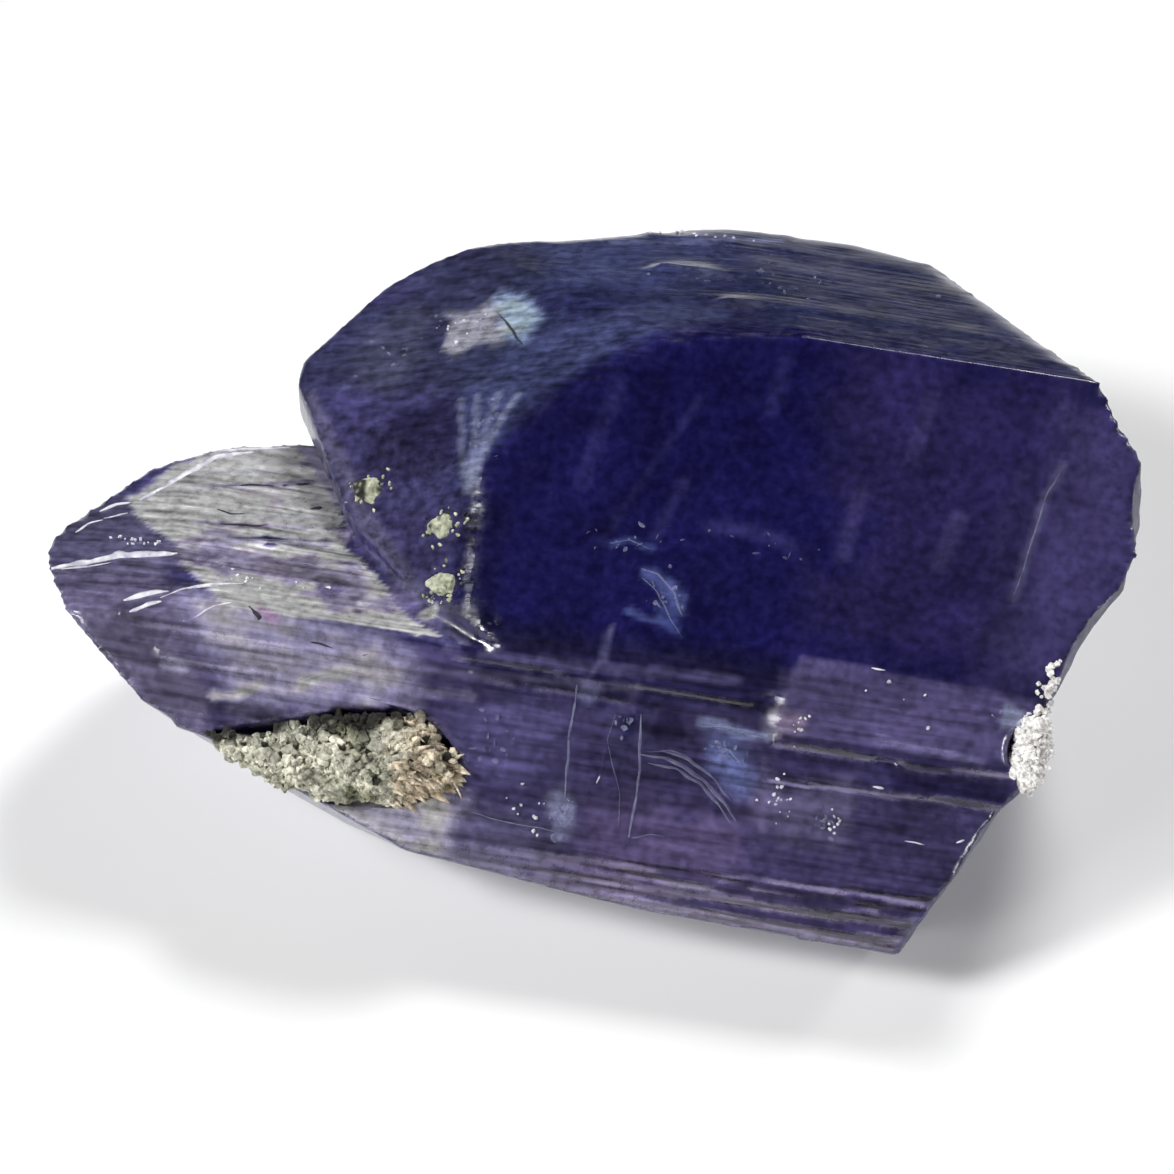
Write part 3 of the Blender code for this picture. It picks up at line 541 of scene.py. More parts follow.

# Tanzanite as it grew and broke. It is glassy and see-through, so light from behind glows
# violet in it and its depth goes dark. Its skin is lined and here and there frosted, which
# gives soft, streaked highlights, and its streaks are also painted lighter and darker into its
# colour as highlight and shade. The fine lines are drawn coarser than real ones, to show.
CRYSTAL_IOR = 1.69  # zoisite: 1.685 to 1.707
SEE_THROUGH = 0.65
SOAKED = "#3c3a80"  # what the volume leaves of white light
SOAK_DENSITY = 420.0  # per metre
LINE_WIDTH = 0.28  # mm
LINE_LENGTH = 20.0  # times their width
FLECK = 0.35  # mm, cloudy flecks in the skin
GLOSSY, FROSTED = 0.17, 0.48
SKIN_BUMP = 0.03  # mm

zoisite = bpy.data.materials.new("tanzanite_crystal")
zoisite.use_nodes = True
tree = zoisite.node_tree
body = tree.nodes["Principled BSDF"]
body.inputs["IOR"].default_value = CRYSTAL_IOR
body.inputs["Transmission Weight"].default_value = SEE_THROUGH
place = node(tree, "TexCoord")
streak_place = node(tree, "Mapping", {"Scale": (1.0 / LINE_LENGTH, 1.0, 1.0)},
                    {"Vector": place.outputs["Object"]})
streaks = node(tree, "TexNoise", {"Scale": 1.0 / (LINE_WIDTH * MM), "Detail": 3.0},
               {"Vector": streak_place.outputs[0]})
grain = node(tree, "TexNoise", {"Scale": 1.0 / (FLECK * MM), "Detail": 4.0},
             {"Vector": place.outputs["Object"]})
painted = node(tree, "Attribute", {"attribute_name": "zone_colour"})
frosted = node(tree, "Attribute", {"attribute_name": "frost"})
striation = node(tree, "Attribute", {"attribute_name": "striation"})
# Painted highlight and shade of the striations: streak noise lightens and darkens the colour
centred = node(tree, "Math", {"operation": "MULTIPLY_ADD", 1: 7.0, 2: -3.5},
               {0: streaks.outputs[0]})
streak_part = node(tree, "Math", {"operation": "MULTIPLY_ADD", 2: 1.0},
                   {0: centred.outputs[0], 1: striation.outputs["Fac"]})
streak_shade = node(tree, "Clamp", {"Min": 0.3, "Max": 2.2}, {0: streak_part.outputs[0]})
grain_shade = node(tree, "MapRange",
                   {"From Min": 0.3, "From Max": 0.7, "To Min": 0.68, "To Max": 1.34},
                   {"Value": grain.outputs[0]})
both = node(tree, "Math", {"operation": "MULTIPLY"},
            {0: streak_shade.outputs[0], 1: grain_shade.outputs[0]})
shaded = node(tree, "VectorMath", {"operation": "SCALE"},
              {0: painted.outputs["Color"], "Scale": both.outputs[0]})
tree.links.new(shaded.outputs[0], body.inputs["Base Color"])
dull = node(tree, "MapRange", {"To Min": GLOSSY, "To Max": FROSTED},
            {"Value": frosted.outputs["Fac"]})
smear = node(tree, "Math", {"operation": "MULTIPLY"},
             {0: dull.outputs[0], 1: grain_shade.outputs[0]})
tree.links.new(smear.outputs[0], body.inputs["Roughness"])
height = node(tree, "Math", {"operation": "MULTIPLY_ADD", 1: 0.5},
              {0: grain.outputs[0], 2: streaks.outputs[0]})
bump = node(tree, "Bump", {"Strength": 0.35, "Distance": SKIN_BUMP * MM},
            {"Height": height.outputs[0]})
tree.links.new(bump.outputs[0], body.inputs["Normal"])
soak = node(tree, "VolumeAbsorption", {"Color": linear(SOAKED), "Density": SOAK_DENSITY})
tree.links.new(soak.outputs[0], tree.nodes["Material Output"].inputs["Volume"])
crystal.data.materials.append(zoisite)
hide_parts("crystal")
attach(crystal, "root")

# Bruises, cleavage lines and healed fractures of the crystal, painted glints along its tip's
# ridges, and painted shade in its cracks. The bruises, lines and fractures are the same zoisite
# with air in it, so they look milky; the glints take the bruises' white, and the shade is black.
# All lie in its skin. Each is a thin closed sliver or flake set on the crystal, thickest in its
# middle.

# Pale lines: path of x and y in mm, half width in mm, and depth below the skin if any. The
# first eleven, around the tip, are painted glints on its ridges and edges; the rest are pale marks
PALE_LINES = (
    (((-19, -6.9), (-18, -6.5), (-16.7, -5.9), (-15.6, -5.7), (-14.6, -5.5)), 0.18),
    (((-18.6, -6.9), (-17.6, -6.6), (-16.9, -6.3)), 0.04),
    (((-15.4, -8.9), (-14.9, -8.5), (-14.4, -8.2)), 0.12),
    (((-15.8, -8.3), (-15, -7.9), (-14.3, -7.6)), 0.13),
    (((-14.5, -8), (-13.8, -7.4), (-12.7, -7), (-11.7, -6.6)), 0.06),
    (((-13.4, -8.9), (-12.8, -8.6), (-12.4, -8.2), (-11.8, -7.9)), 0.05),
    (((-18.8, -4.6), (-18.4, -4), (-18, -3.7)), 0.08),
    (((-18.3, -3.2), (-17.8, -2.7), (-17.3, -2.5)), 0.07),
    (((-18, -3.6), (-17.2, -3.2)), 0.04),
    (((-17, -2.3), (-16.3, -1.4), (-15.5, -0.2), (-15, 0.8), (-13.7, 1.6)), 0.16),
    (((-15.2, 1.2), (-13.8, 1.8), (-12.4, 2.3)), 0.07),
    (((2.4, -9.9), (2.3, -10.4), (2.3, -10.8), (2.2, -11)), 0.05, 0.02),
    (((11.2, -6.9), (11.7, -6.9)), 0.04),
    (((12, -8), (12.4, -7.95)), 0.05),
    (((11.9, -9.9), (12.3, -9.9)), 0.05),
    (((13.3, -11), (14, -11)), 0.04),
    (((15.1, -10.8), (15.4, -10.7)), 0.05),
)
# Dim lines: edges of healed fractures seen through the front face
HEALED_LINES = (
    (((1.05, -8.3), (1, -9), (0.98, -9.8), (1.05, -10.5), (1.15, -11.5)), 0.06),
    (((3.4, -9.1), (3.5, -9.7), (3.65, -10.4), (3.7, -11.2), (3.6, -12.2)), 0.06),
    (((2.5, -9.2), (2.35, -9.9), (2.7, -10.5), (3.1, -11.2), (3.2, -12)), 0.02),
    (((3.6, -10.1), (4.5, -10.05), (5.4, -10.2), (6.3, -10.6), (6.9, -10.95), (7.3, -11.3)), 0.1),
    (((3.9, -10.25), (4.9, -10.25), (5.8, -10.5), (6.6, -10.95), (7.1, -11.35)), 0.07),
    (((4.3, -9.9), (5.3, -9.95), (6.2, -10.3), (7, -10.8)), 0.07),
    (((3.8, -10), (4.6, -9.85), (5.3, -9.9)), 0.02),
    (((5.6, -9.1), (6.4, -9), (7.4, -9.1), (8, -9.1)), 0.03),
    (((5.9, -9.5), (6.7, -9.6), (7.4, -10)), 0.03),
    (((-2.2, -12.3), (-0.6, -12.35), (1.4, -12.4)), 0.02),
    (((3.7, -12.2), (4.3, -12), (4.9, -12)), 0.025),
    (((2.5, -4.8), (3.1, -4.9), (3.8, -5.4), (4.3, -6.2)), 0.05),
    (((2.6, -5.1), (3.2, -5.5), (3.7, -6.1), (4.4, -6.9)), 0.03),
    (((1.2, -4.1), (1.9, -3.9), (2.7, -4.1)), 0.03),
    (((16.6, 1), (16.2, -0.2), (15.9, -2.4), (15.7, -3.8)), 0.04),
    (((-16.8, -1.8), (-14.9, -1.4), (-13, -0.9), (-11, -0.3)), 0.05),
    (((-15.9, -0.4), (-14, 0.1), (-12.2, 0.6)), 0.05),
    (((-13.9, -2.9), (-11.9, -2.3), (-9.7, -1.8)), 0.03),
    (((-13.2, -4.3), (-11.2, -3.8), (-9, -3.6)), 0.03),
    (((-12.6, -5.2), (-10, -4.9), (-8, -5.2)), 0.03),
    (((-12, -10.5), (-11.2, -10.4), (-10.3, -10)), 0.05),
    (((-9.1, -9.9), (-8.1, -9.6), (-7, -9.4)), 0.04),
    (((-14.2, -9.9), (-13.1, -9.9)), 0.05),
    (((-11.4, -9), (-9.9, -8.8), (-8.2, -8.7)), 0.03),
)
# Dark slits, with black slivers of painted shade in them
DARK_LINES = (
    (((-11.2, -7.95), (-10.6, -8.5), (-10.1, -8.7)), 0.09),
    (((-9.3, -8.75), (-8.5, -8.8), (-7.9, -8.9)), 0.05),
    (((-7.4, -9), (-6.6, -8.85)), 0.04),
    (((-3.25, -7.4), (-2.95, -7.38)), 0.07),
    (((-2.5, -7.5), (-2.1, -7.5)), 0.06),
    (((-5.1, 5.7), (-4.6, 5.1), (-4.1, 4.3), (-3.7, 3.7)), 0.04, -0.012),
    (((-14, -0.9), (-13.2, -0.6), (-12.4, -0.4)), 0.03),
    (((-11.6, -0.1), (-11.1, 0.1)), 0.04),
    (((-13.6, -3.3), (-12.5, -3.1), (-11.9, -2.9)), 0.035),
    (((-14, -2.4), (-13.4, -2.6), (-12.9, -2.4)), 0.04),
    (((-10.7, -1.5), (-10.3, -1.3)), 0.06),
)
# White crumbs, then bluish flakes: middle of each patch, its spread in mm, and how many
CRUMBS = (
    ((-0.2, -11.9), (0.8, 0.4), 9), ((0.3, -12.5), (0.3, 0.1), 3), ((8.6, -10.5), (0.9, 0.5), 20),
    ((10.7, -10.9), (0.4, 0.3), 10), ((9, -8.8), (0.4, 0.4), 9), ((12, -7.6), (2.5, 0.6), 6),
    ((1.8, 12.2), (2.6, 0.25), 16), ((-4.8, -6.6), (0.5, 0.3), 5), ((-9.6, -6.2), (0.3, 0.2), 2),
    ((-6.2, 5.2), (1.2, 0.9), 9), ((-12.5, -5.8), (2.5, 0.8), 8), ((-16.2, -4.9), (1.2, 0.3), 14),
)
FLAKES = (
    ((6.5, -9.6), (0.8, 0.5), 30), ((1.1, -11.9), (0.35, 0.5), 34), ((3.5, -5.7), (0.8, 0.8), 22),
    ((2.9, -9.4), (0.5, 0.3), 10), ((10.4, -10.9), (0.5, 0.4), 16), ((1.6, -4), (0.9, 0.2), 8),
    ((7, -3.2), (2.5, 0.5), 10), ((3, -3.9), (2.5, 0.8), 8), ((-1.5, -10.3), (1.2, 0.9), 24),
    ((-4.2, -0.4), (0.6, 1.4), 26), ((-5.8, 5), (1.3, 0.8), 20), ((16.4, -7.6), (0.5, 0.3), 10),
    ((4.5, 8.5), (5, 1.8), 24), ((-9, 4.2), (1.4, 1.6), 16),
)
PATH_STEP = 0.12  # mm between a sliver's sections
SIDES = 6  # points of a section
HALF_THICK = 0.02  # mm
PATH_WAVER = 0.03  # mm


def joined(name, points, faces):
    """A smooth mesh piece from points in mm and faces, with its normals turned outward."""
    mesh = bpy.data.meshes.new(name)
    mesh.from_pydata((np.asarray(points) * MM).tolist(), [], faces)
    shape = bmesh.new()
    shape.from_mesh(mesh)
    bmesh.ops.recalc_face_normals(shape, faces=shape.faces[:])
    shape.to_mesh(mesh)
    shape.free()
    mesh.polygons.foreach_set("use_smooth", np.ones(len(mesh.polygons), dtype=bool))
    made = bpy.data.objects.new(name, mesh)
    bpy.context.scene.collection.objects.link(made)
    return made


def slivers(name, lines, lift):
    """Thin closed ribbons along paths on the stone, one mesh.

    A path is read in short steps and dropped on to the skin. Its section is a flat ellipse of
    six points, whose width swells from nothing at both ends and wavers with the noise."""
    all_points, all_faces, start = [], [], 0
    for number, (path, half_width, *depth) in enumerate(lines):
        path = np.array(path)
        reach = np.concatenate([[0.0], np.cumsum(np.hypot(*np.diff(path, axis=0).T))])
        share = np.linspace(0.0, 1.0, max(6, int(reach[-1] / PATH_STEP)))
        flat = np.column_stack([np.interp(share * reach[-1], reach, path[:, i]) for i in (0, 1)])
        stretched = np.column_stack([flat * 2.2, share * 0])
        flat += PATH_WAVER * np.column_stack([noise(stretched, 41 + i) for i in (0, 1)])
        spine = top_of(flat)
        keep = ~np.isnan(spine[:, 0])
        spine, share = spine[keep], share[keep]
        if len(spine) < 3:
            continue
        ahead = np.gradient(spine, axis=0)
        ahead /= np.linalg.norm(ahead, axis=1)[:, None]
        side = np.cross(ahead, (0.0, -0.35, 1.0))
        side /= np.linalg.norm(side, axis=1)[:, None]
        up = np.cross(side, ahead)
        waver = noise(spine * 3.0 + number, 43)
        width = (half_width * np.sin(math.pi * np.clip(share, 0.02, 0.98)) ** 0.5
                 * (1.0 + 0.6 * waver))
        turn = np.linspace(0.0, 2.0 * math.pi, SIDES, endpoint=False)
        ring = (spine[:, None] + side[:, None] * (width[:, None] * np.cos(turn))[:, :, None]
                + up[:, None] * (lift - sum(depth) + HALF_THICK * np.sin(turn))[None, :, None])
        all_points.append(ring.reshape(-1, 3))
        rows = len(spine)
        i, j = np.meshgrid(np.arange(rows - 1), np.arange(SIDES), indexing="ij")
        a, b = start + i * SIDES + j, start + i * SIDES + (j + 1) % SIDES
        all_faces += np.stack([a, a + SIDES, b + SIDES, b], axis=2).reshape(-1, 4).tolist()
        last = start + (rows - 1) * SIDES
        all_faces += [list(range(start, start + SIDES)),
                      list(range(last + SIDES - 1, last - 1, -1))]
        start += rows * SIDES
    return joined(name, np.concatenate(all_points), all_faces)


def pebbles(name, places, sizes, seed, flatness=1.0):
    """Many small angular grains in one mesh: a ball of few points, turned, stretched and dented.

    Each grain's colour share is a number from 0 to 1 in the attribute `grain_tone`."""
    ball = bmesh.new()
    bmesh.ops.create_icosphere(ball, subdivisions=1, radius=1.0)
    bmesh.ops.subdivide_edges(ball, edges=ball.edges[:], cuts=1)
    bmesh.ops.triangulate(ball, faces=ball.faces[:])
    unit = np.array([v.co[:] for v in ball.verts])
    unit /= np.linalg.norm(unit, axis=1)[:, None]
    tris = np.array([[v.index for v in f.verts] for f in ball.faces])
    ball.free()
    luck = np.random.default_rng(seed)
    count = len(places)
    turns = np.linalg.qr(luck.normal(size=(count, 3, 3)))[0]
    stretch = luck.uniform(0.55, 1.25, size=(count, 1, 3)) * np.array([1.0, 1.0, flatness])
    dents = 1.0 + 0.18 * luck.normal(size=(count, len(unit), 1))
    grains = np.einsum("nij,nkj->nki", turns, unit[None] * stretch * dents) * sizes[:, None, None]
    points = (grains + places[:, None]).reshape(-1, 3)
    faces = (tris[None] + (np.arange(count) * len(unit))[:, None, None]).reshape(-1, 3).tolist()
    made = joined(name, points, faces)
    made.data.polygons.foreach_set("use_smooth", np.zeros(len(faces), dtype=bool))
    point_layer(made, "grain_tone", np.repeat(luck.uniform(0.0, 1.0, count), len(unit)))
    return made


def milky(name, colour, alpha, roughness=0.45):
    """Matte, clouded, partly see-through: airy zoisite, and painted glints and shade in the skin.
    """
    made = bpy.data.materials.new(name)
    made.use_nodes = True
    tree = made.node_tree
    shader = tree.nodes["Principled BSDF"]
    shader.inputs["Roughness"].default_value = roughness
    shader.inputs["IOR"].default_value = CRYSTAL_IOR
    shader.inputs["Alpha"].default_value = alpha
    place = node(tree, "TexCoord")
    cloud = node(tree, "TexNoise", {"Scale": 1.0 / (CLOUD * MM), "Detail": 4.0},
                 {"Vector": place.outputs["Object"]})
    ramp = node(tree, "ValToRGB", {}, {"Fac": cloud.outputs[0]})
    pale = linear(colour)
    dim, full = ramp.color_ramp.elements
    dim.color = (pale[0] * 0.45, pale[1] * 0.45, pale[2] * 0.55, 1.0)
    dim.position = 0.3
    full.color = pale
    full.position = 0.62
    tree.links.new(ramp.outputs[0], shader.inputs["Base Color"])
    return made


def set_on_crystal(piece, material):
    """Give a piece its material and slot, and make it ride with the stone."""
    piece.data.materials.append(material)
    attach(piece, "root")


# Bruised zoisite scatters light from its cracks, so it is nearly white, and the same white
# paints the glints on the tip's ridges. Healed fractures are a faint blue veil. The painted
# shade in the cracks is black and dull.
CLOUD = 0.4  # mm, their cloudiness
bruise_and_glint = milky("bruised_zoisite_and_painted_glint", "#f2f0f6", 0.85)
crack_shade = milky("painted_crack_shade", "#16141f", 0.85, 0.8)
# White slivers: bruised marks, and along the tip's ridges painted glints
set_on_crystal(slivers("bruises_and_painted_glints", PALE_LINES, 0.0), bruise_and_glint)
# Black slivers in the cracks: painted shade
set_on_crystal(slivers("crack_shade_slivers", DARK_LINES, 0.005), crack_shade)
healed = milky("healed_fracture", "#aeb2d4", 0.22)
set_on_crystal(slivers("healed_lines", HEALED_LINES, 0.0), healed)
luck = np.random.default_rng(61)
# Name, patches, smallest and largest size in mm, flatness, material
for name, patches, low, high, flatness, material in (
        ("white_crumbs", CRUMBS, 0.03, 0.08, 1.0, bruise_and_glint),
        ("fracture_flakes", FLAKES, 0.03, 0.13, 0.3, healed)):
    flat = np.vstack([np.array(middle) + luck.normal(size=(count, 2)) * 0.5 * np.array(spread)
                      for middle, spread, count in patches])
    skin = top_of(flat)
    skin = skin[~np.isnan(skin[:, 0])]
    sizes = luck.uniform(low, high, len(skin))
    set_on_crystal(pebbles(name, skin, sizes, 62, flatness), material)

# Host rock. A wedge of grey-green calc-silicate grains grown on the foot of the long crystal,
# frayed into cream fibres at its right end, with black along its upper edge: dark crumbs, and
# painted shade in the crease where it meets the crystal. It is grown fast to the crystal, so it
# reaches over the solids' clearance.
CRUST_GRID = 0.13  # mm
CRUST_SWELL = 0.22  # mm
SWELL_SHARE = 0.2  # mm, the swell that its taper allows for
GRAIN_COUNT, RIM_COUNT, FIBRES = 900, 150, 110
GRAIN_SIZES, RIM_SIZES = (0.05, 0.17), (0.10, 0.26)  # mm
FIBRE_LENGTHS, FIBRE_WIDTHS = (0.3, 0.85), (0.07, 0.2)  # mm
FIBRES_FROM = -5.1  # mm, x where they begin
CREAM_FROM = -5.2  # mm, x where the rock turns cream
# Height up the front at which its black edge of crumbs and painted shade begins, by x, in mm
BLACK_FROM = ((-12.0, -11.0, -9.5, -8.2, -7.4, -6.2, -5.4, -4.0),
              (-0.7, -0.35, 0.1, 0.5, 0.55, 0.65, 1.2, 1.6))


def rock(name, roughness, grain_size, bump_height):
    """Matte granular rock: grains in mm that differ in shade, and a rough bump in mm.

    Its colour comes from the mesh's attribute `rock_colour`."""
    made = bpy.data.materials.new(name)
    made.use_nodes = True
    tree = made.node_tree
    shader = tree.nodes["Principled BSDF"]
    place = node(tree, "TexCoord")
    base = node(tree, "Attribute", {"attribute_name": "rock_colour"})
    grit = node(tree, "TexNoise", {"Scale": 1.0 / (grain_size * MM), "Detail": 5.0},
                {"Vector": place.outputs["Object"]})
    cells = node(tree, "TexVoronoi", {"Scale": 1.0 / (1.6 * grain_size * MM)},
                 {"Vector": place.outputs["Object"]})
    light = node(tree, "MapRange",
                 {"From Min": 0.3, "From Max": 0.7, "To Min": 0.5, "To Max": 1.4},
                 {"Value": grit.outputs[0]})
    mixed = node(tree, "VectorMath", {"operation": "SCALE"},
                 {0: base.outputs["Color"], "Scale": light.outputs[0]})
    tree.links.new(mixed.outputs[0], shader.inputs["Base Color"])
    height = node(tree, "Math", {"operation": "MULTIPLY_ADD", 1: 0.6},
                  {0: cells.outputs[0], 2: grit.outputs[0]})
    bump = node(tree, "Bump", {"Strength": 0.8, "Distance": bump_height * MM},
                {"Height": height.outputs[0]})
    tree.links.new(bump.outputs[0], shader.inputs["Normal"])
    shader.inputs["Roughness"].default_value = roughness
    return made


def tone_of(grains):
    """Each point's `grain_tone`, from 0 to 1."""
    own = np.empty(len(grains.data.vertices))
    grains.data.attributes["grain_tone"].data.foreach_get("value", own)
    return own


def crust_tones(spots):
    """Grey-green middle, black top edge of crumbs and painted shade, cream at the right."""
    green = mix(rgb("#bdbcac"), "#86866f", noise(spots / 0.8, 71) * 1.3)
    green = mix(green, "#e0dccb", noise(spots / 0.45, 72) * 1.3 - 0.2)
    up = (spots - ROCK_MIDDLE) @ np.array(UP_FRONT)
    edge = np.interp(spots[:, 0], *BLACK_FROM)
    # Black along the top edge: dark crumbs, and painted shade in the crease with the crystal
    black = cut((up - edge + 0.35 * noise(spots / 0.5, 73)) * 3.0)
    right = spots[:, 0] - CREAM_FROM
    cream = cut((right + 0.5 * noise(spots / 0.6, 74)) * 1.2)
    toned = mix(green, "#cfc2aa", cream * 0.8)
    return mix(toned, "#23211b", black * (1.0 - 0.3 * cream))


def fibres(name, roots, ways, lengths, widths):
    """Tapered blades from root points along their directions, one mesh.

    Each blade has five triangular rings that bend a little and shrink to a point."""
    count = len(roots)
    share = np.linspace(0.0, 1.0, 5)
    ways = ways / np.linalg.norm(ways, axis=1)[:, None]
    side = np.cross(ways, (0.0, 0.0, 1.0))
    side /= np.linalg.norm(side, axis=1)[:, None]
    up = np.cross(side, ways)
    bend = luck.normal(size=(count, 1, 1)) * 0.18 * share[None, :, None] ** 2
    spine = (roots[:, None] + ways[:, None] * (lengths[:, None] * share)[:, :, None]
             + (side[:, None] + 0.5 * up[:, None]) * bend * lengths[:, None, None])
    size = widths[:, None] * np.array([1.0, 1.1, 0.8, 0.5, 0.08])
    turn = np.array([0.0, 2.1, 4.2])
    ring = (spine[:, :, None] + side[:, None, None] * (size[:, :, None] * np.cos(turn))[..., None]
            + up[:, None, None] * (0.6 * size[:, :, None] * np.sin(turn))[..., None])
    base = (np.arange(count) * 15)[:, None, None]
    i, j = np.meshgrid(np.arange(4), np.arange(3), indexing="ij")
    a, b = i * 3 + j, i * 3 + (j + 1) % 3
    quads = np.stack([a, b, b + 3, a + 3], axis=2).reshape(1, -1, 4) + base
    caps = (np.array([[0, 2, 1], [12, 13, 14]])[None] + base).reshape(-1, 3).tolist()
    return joined(name, ring.reshape(-1, 3), quads.reshape(-1, 4).tolist() + caps)


crust = fine_mesh("host_rock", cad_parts["matrix_crust"], CRUST_GRID)
spots, out = corners_of(crust)
ragged = (CRUST_SWELL + 0.16 * noise(spots / 0.9, 75) + 0.12 * noise(spots / 0.42, 76)
          - 0.10 * np.abs(noise(spots / 0.3, 77)))
crust_points = spots + out * ragged[:, None]
# Pressed down toward its lower edge, until it reaches up to rock_edge
along = crust_points[:, 0] - ROCK_MIDDLE[0]
up = (crust_points - ROCK_MIDDLE) @ np.array(UP_FRONT)
round_off = np.clip(1.0 - (along / (ROCK_HALF[0] + SWELL_SHARE)) ** 2, 0.02, 1.0)
tall = (ROCK_HALF[1] + SWELL_SHARE) * np.sqrt(round_off)
squeeze = np.clip((rock_edge(along) + tall) / (2.0 * tall), 0.3, 1.0)
crust_points -= ((up + tall) * (1.0 - squeeze))[:, None] * np.array(UP_FRONT)
move_points(crust, crust_points)
point_layer(crust, "rock_colour", crust_tones(crust_points))
# Calc-silicate rock, broken and never polished: dry and matte, without a glint
crust_rock = rock("calc_silicate_rock", 0.9, 0.18, 0.08)
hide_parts("matrix_crust")
set_on_crystal(crust, crust_rock)

luck = np.random.default_rng(81)
shown = np.flatnonzero((out[:, 1] < 0.2) & (out[:, 2] > -0.5))
chosen = luck.choice(shown, GRAIN_COUNT, replace=False)
rim = np.flatnonzero((out[:, 1] < 0.6) & (out[:, 2] > 0.5))
rim = luck.choice(rim, RIM_COUNT, replace=False)
grit_at = np.vstack([crust_points[chosen], crust_points[rim] + np.array([0.0, -0.02, 0.16])])
grit_size = np.concatenate([luck.uniform(*GRAIN_SIZES, len(chosen)),
                            luck.uniform(*RIM_SIZES, len(rim))])
grit = pebbles("rock_grains", grit_at, grit_size, 82)
own = tone_of(grit)
tones = crust_tones(corners_of(grit)[0]) * (0.6 + 0.8 * own)[:, None]
point_layer(grit, "rock_colour", mix(tones, "#2b281f", (own - 0.94) * 30.0))
set_on_crystal(grit, crust_rock)

right = np.flatnonzero((out[:, 1] < 0.3) & (out[:, 2] > -0.4) & (spots[:, 0] > FIBRES_FROM))
roots = luck.choice(right, FIBRES)
ways = np.column_stack([np.ones(FIBRES), luck.normal(0.0, 0.5, FIBRES),
                        luck.normal(0.0, 0.4, FIBRES)])
ways += np.array([0.0, -0.25, -0.05])
tufts = fibres("rock_fibres", crust_points[roots], ways, luck.uniform(*FIBRE_LENGTHS, FIBRES),
               luck.uniform(*FIBRE_WIDTHS, FIBRES))
tuft_spots, _ = corners_of(tufts)
point_layer(tufts, "rock_colour",
            mix(rgb("#dccdb4"), "#6b5c48", noise(tuft_spots / 0.5, 83) * 1.3))
set_on_crystal(tufts, crust_rock)

# Grains of the same rock, three of them, sunk in the broad crystal's left end. Each is a flat
# ragged patch of yellow-green crumbs with darker ones between, held by the crystal around it.
PATCH_GRID = 0.06  # mm
PATCH_SIZE = 0.86  # of the solid grain
CRUMB_COUNT = 46  # strewn on and around each grain
CRUMB_SPREAD = (0.42, 0.26)  # mm
CRUMB_SIZES = (0.04, 0.13)  # mm

for number in (1, 2, 3):
    patch = fine_mesh(f"rock_grain_{number}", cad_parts[f"matrix_grain_{number}"], PATCH_GRID)
    spots, out = corners_of(patch)
    ragged = 0.06 + 0.10 * noise(spots / 0.35, 90 + number) + 0.07 * noise(spots / 0.16, 93)
    patch_points = ((spots + out * ragged[:, None]) * PATCH_SIZE
                    + spots.mean(axis=0) * (1.0 - PATCH_SIZE))
    move_points(patch, patch_points)
    tones = mix(rgb("#b0b39c"), "#2b2b26", noise(patch_points / 0.3, 95) * 2.2 - 0.3)
    tones = mix(tones, "#e2e0c8", noise(patch_points / 0.25, 96) * 2.0 - 0.7)
    point_layer(patch, "rock_colour", tones)
    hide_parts(f"matrix_grain_{number}")
    set_on_crystal(patch, crust_rock)
    around = top_of(luck.normal(size=(CRUMB_COUNT, 2)) * np.array(CRUMB_SPREAD)
                    + spots[:, :2].mean(axis=0))
    place, normal = grain_places[number - 1]
    level = place[2] - (around[:, :2] - place[:2]) @ normal[:2] / normal[2]
    around[:, 2] = np.maximum(around[:, 2], level)
    crumbs = pebbles(f"grain_crumbs_{number}", around, luck.uniform(*CRUMB_SIZES, len(around)),
                     97 + number, 0.6)
    own = tone_of(crumbs)
    tones = mix(rgb("#a3a688"), "#dedcc2", own * 2.0 - 0.8)
    point_layer(crumbs, "rock_colour", mix(tones, "#2a2923", (0.35 - own) * 9.0))
    set_on_crystal(crumbs, crust_rock)

# Calcite chip. A cream, sugary remnant of calcite, broken off short. It is grown into the
# broken right end of the crystal, and some of its sugar lies spilt above it.
CHIP_GRID = 0.08  # mm
SUGAR_COUNT = 260
SPILL, SPILL_COUNT = (17.5, -6.8), 70  # its middle in x and y, mm
SPILL_SPREAD = (0.16, 0.5)  # mm
SUGAR_SIZES = (0.05, 0.16)  # mm

chip = fine_mesh("calcite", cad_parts["calcite_chip"], CHIP_GRID)
spots, out = corners_of(chip)
ragged = 0.2 + 0.14 * noise(spots / 0.7, 101) + 0.06 * noise(spots / 0.3, 102)
chip_points = spots + out * ragged[:, None]
move_points(chip, chip_points)
point_layer(chip, "rock_colour",
            mix(rgb("#eeebe8"), "#a9a3a0", noise(chip_points / 0.5, 103) * 1.4))
sugar_at = luck.choice(len(chip_points), SUGAR_COUNT, replace=False)
spill = top_of(np.array(SPILL) + luck.normal(size=(SPILL_COUNT, 2)) * np.array(SPILL_SPREAD))
spill = spill[~np.isnan(spill[:, 0])]
sugar_at = np.vstack([chip_points[sugar_at], spill])
sugar = pebbles("calcite_sugar", sugar_at, luck.uniform(*SUGAR_SIZES, len(sugar_at)), 104)
sugar_spots, _ = corners_of(sugar)
point_layer(sugar, "rock_colour",
            mix(rgb("#f6f4f2"), "#c4bfbc", noise(sugar_spots / 0.4, 105) * 1.3))
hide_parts("calcite_chip")
# Calcite in small grains: white and a little shinier than the rock
calcite = rock("sugary_calcite", 0.6, 0.15, 0.05)
set_on_crystal(chip, calcite)
set_on_crystal(sugar, calcite)

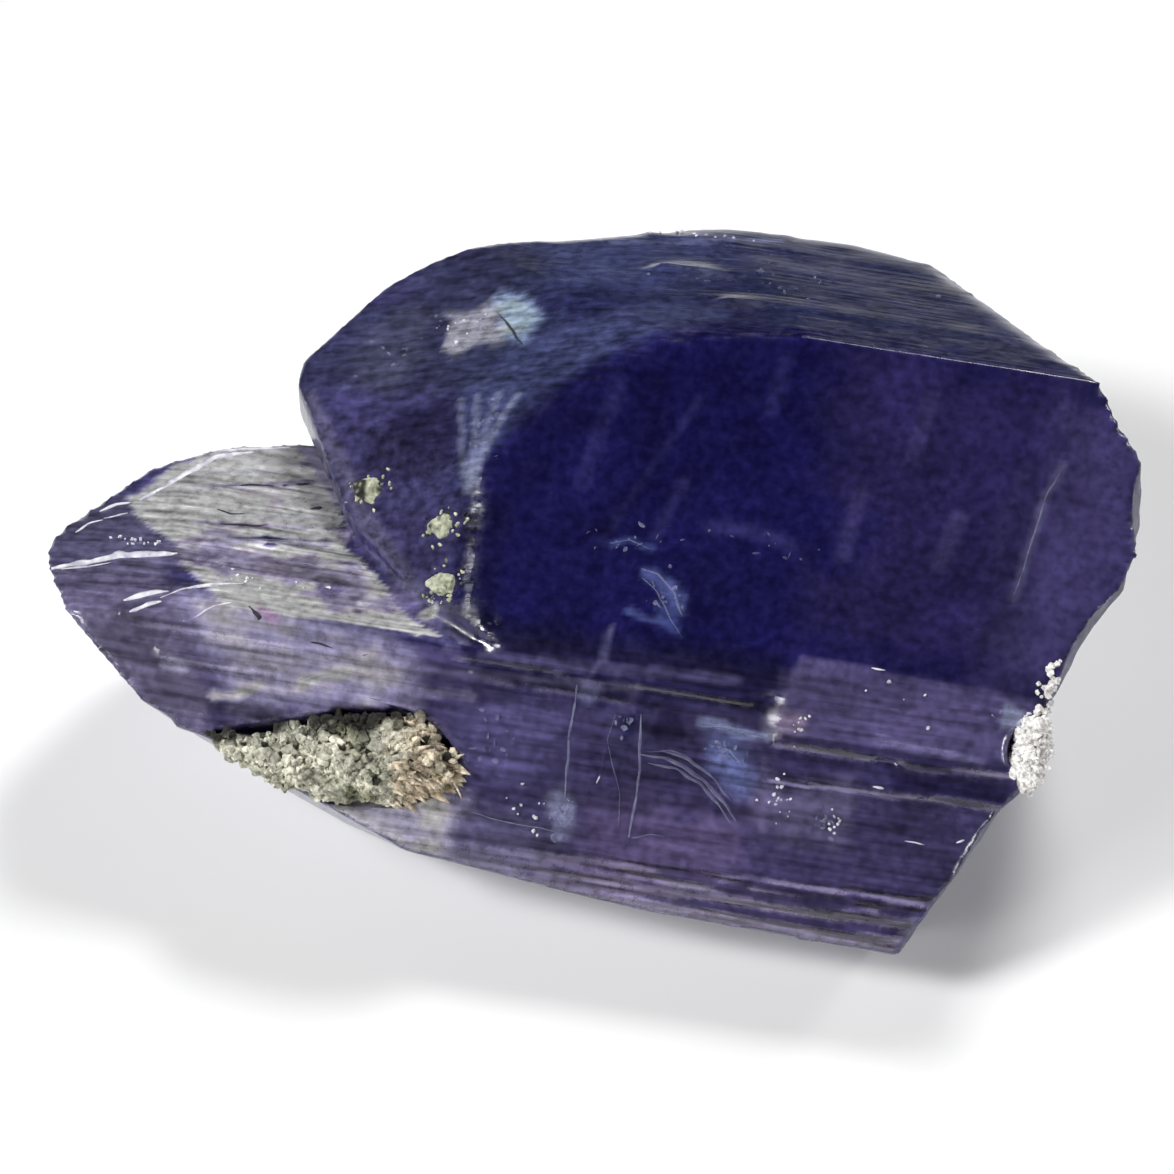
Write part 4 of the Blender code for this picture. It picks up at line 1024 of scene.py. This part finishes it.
# Studio. A plain pale paper floor, soft lights around the stone, and the camera above the
# stone's front, at the photograph's angle.
FLOOR = 6.0  # m, across
FLOOR_LEVEL = -0.0001  # m
LIGHT_SIZE = 0.12  # m
LIGHT_SPREAD = 30.0  # degrees
AIM = (0.0002463, -0.003435, 0.008)  # m
BACK = (0.1336, -0.6287, 0.7660)  # from the stone to the camera
DISTANCE = 0.160  # m
SENSOR, LENS = 36.0, 134.7  # mm

floor_mesh = bpy.data.meshes.new("floor")
half = FLOOR / 2.0
floor_mesh.from_pydata([(x, y, FLOOR_LEVEL) for x, y in ((-half, -half), (half, -half),
                                                         (half, half), (-half, half))],
                       [], [(0, 1, 2, 3)])
floor = bpy.data.objects.new("floor", floor_mesh)
bpy.context.scene.collection.objects.link(floor)
# Uncoated white paper: bright, with no shine
paper = bpy.data.materials.new("white_paper")
paper.use_nodes = True
sheet = paper.node_tree.nodes["Principled BSDF"]
sheet.inputs["Base Color"].default_value = linear("#f7f7f7")
sheet.inputs["Roughness"].default_value = 0.9
floor_mesh.materials.append(paper)

# Name, place in metres, power in watts
for name, place, power in (("key_light", (0.055, 0.25, 0.305), 0.041),
                           ("front_left_light", (-0.24, -0.28, 0.152), 0.018),
                           ("front_right_light", (0.24, -0.28, 0.152), 0.018),
                           ("back_right_light", (0.24, 0.28, 0.16), 0.015),
                           ("left_light", (-0.26, -0.123, 0.27), 0.050)):
    light = bpy.data.lights.new(name, "AREA")
    light.shape = "SQUARE"
    light.size = LIGHT_SIZE
    light.energy = power
    light.spread = math.radians(LIGHT_SPREAD)
    lamp = bpy.data.objects.new(name, light)
    lamp.location = place
    lamp.rotation_mode = "QUATERNION"
    lamp.rotation_quaternion = (-Vector(place)).to_track_quat("-Z", "Y")
    bpy.context.scene.collection.objects.link(lamp)

world = bpy.data.worlds.new("studio")
world.use_nodes = True
world.node_tree.nodes["Background"].inputs["Color"].default_value = linear("#212122")
bpy.context.scene.world = world
bpy.context.scene.view_settings.view_transform = "Standard"

lens = bpy.data.cameras.new("camera")
lens.sensor_width = SENSOR
lens.lens = LENS
lens.clip_start = 0.01
lens.clip_end = 10.0
camera = bpy.data.objects.new("camera", lens)
camera.location = Vector(AIM) + Vector(BACK) * DISTANCE
camera.rotation_mode = "QUATERNION"
camera.rotation_quaternion = (-Vector(BACK)).to_track_quat("-Z", "Y")
bpy.context.scene.collection.objects.link(camera)
bpy.context.scene.camera = camera
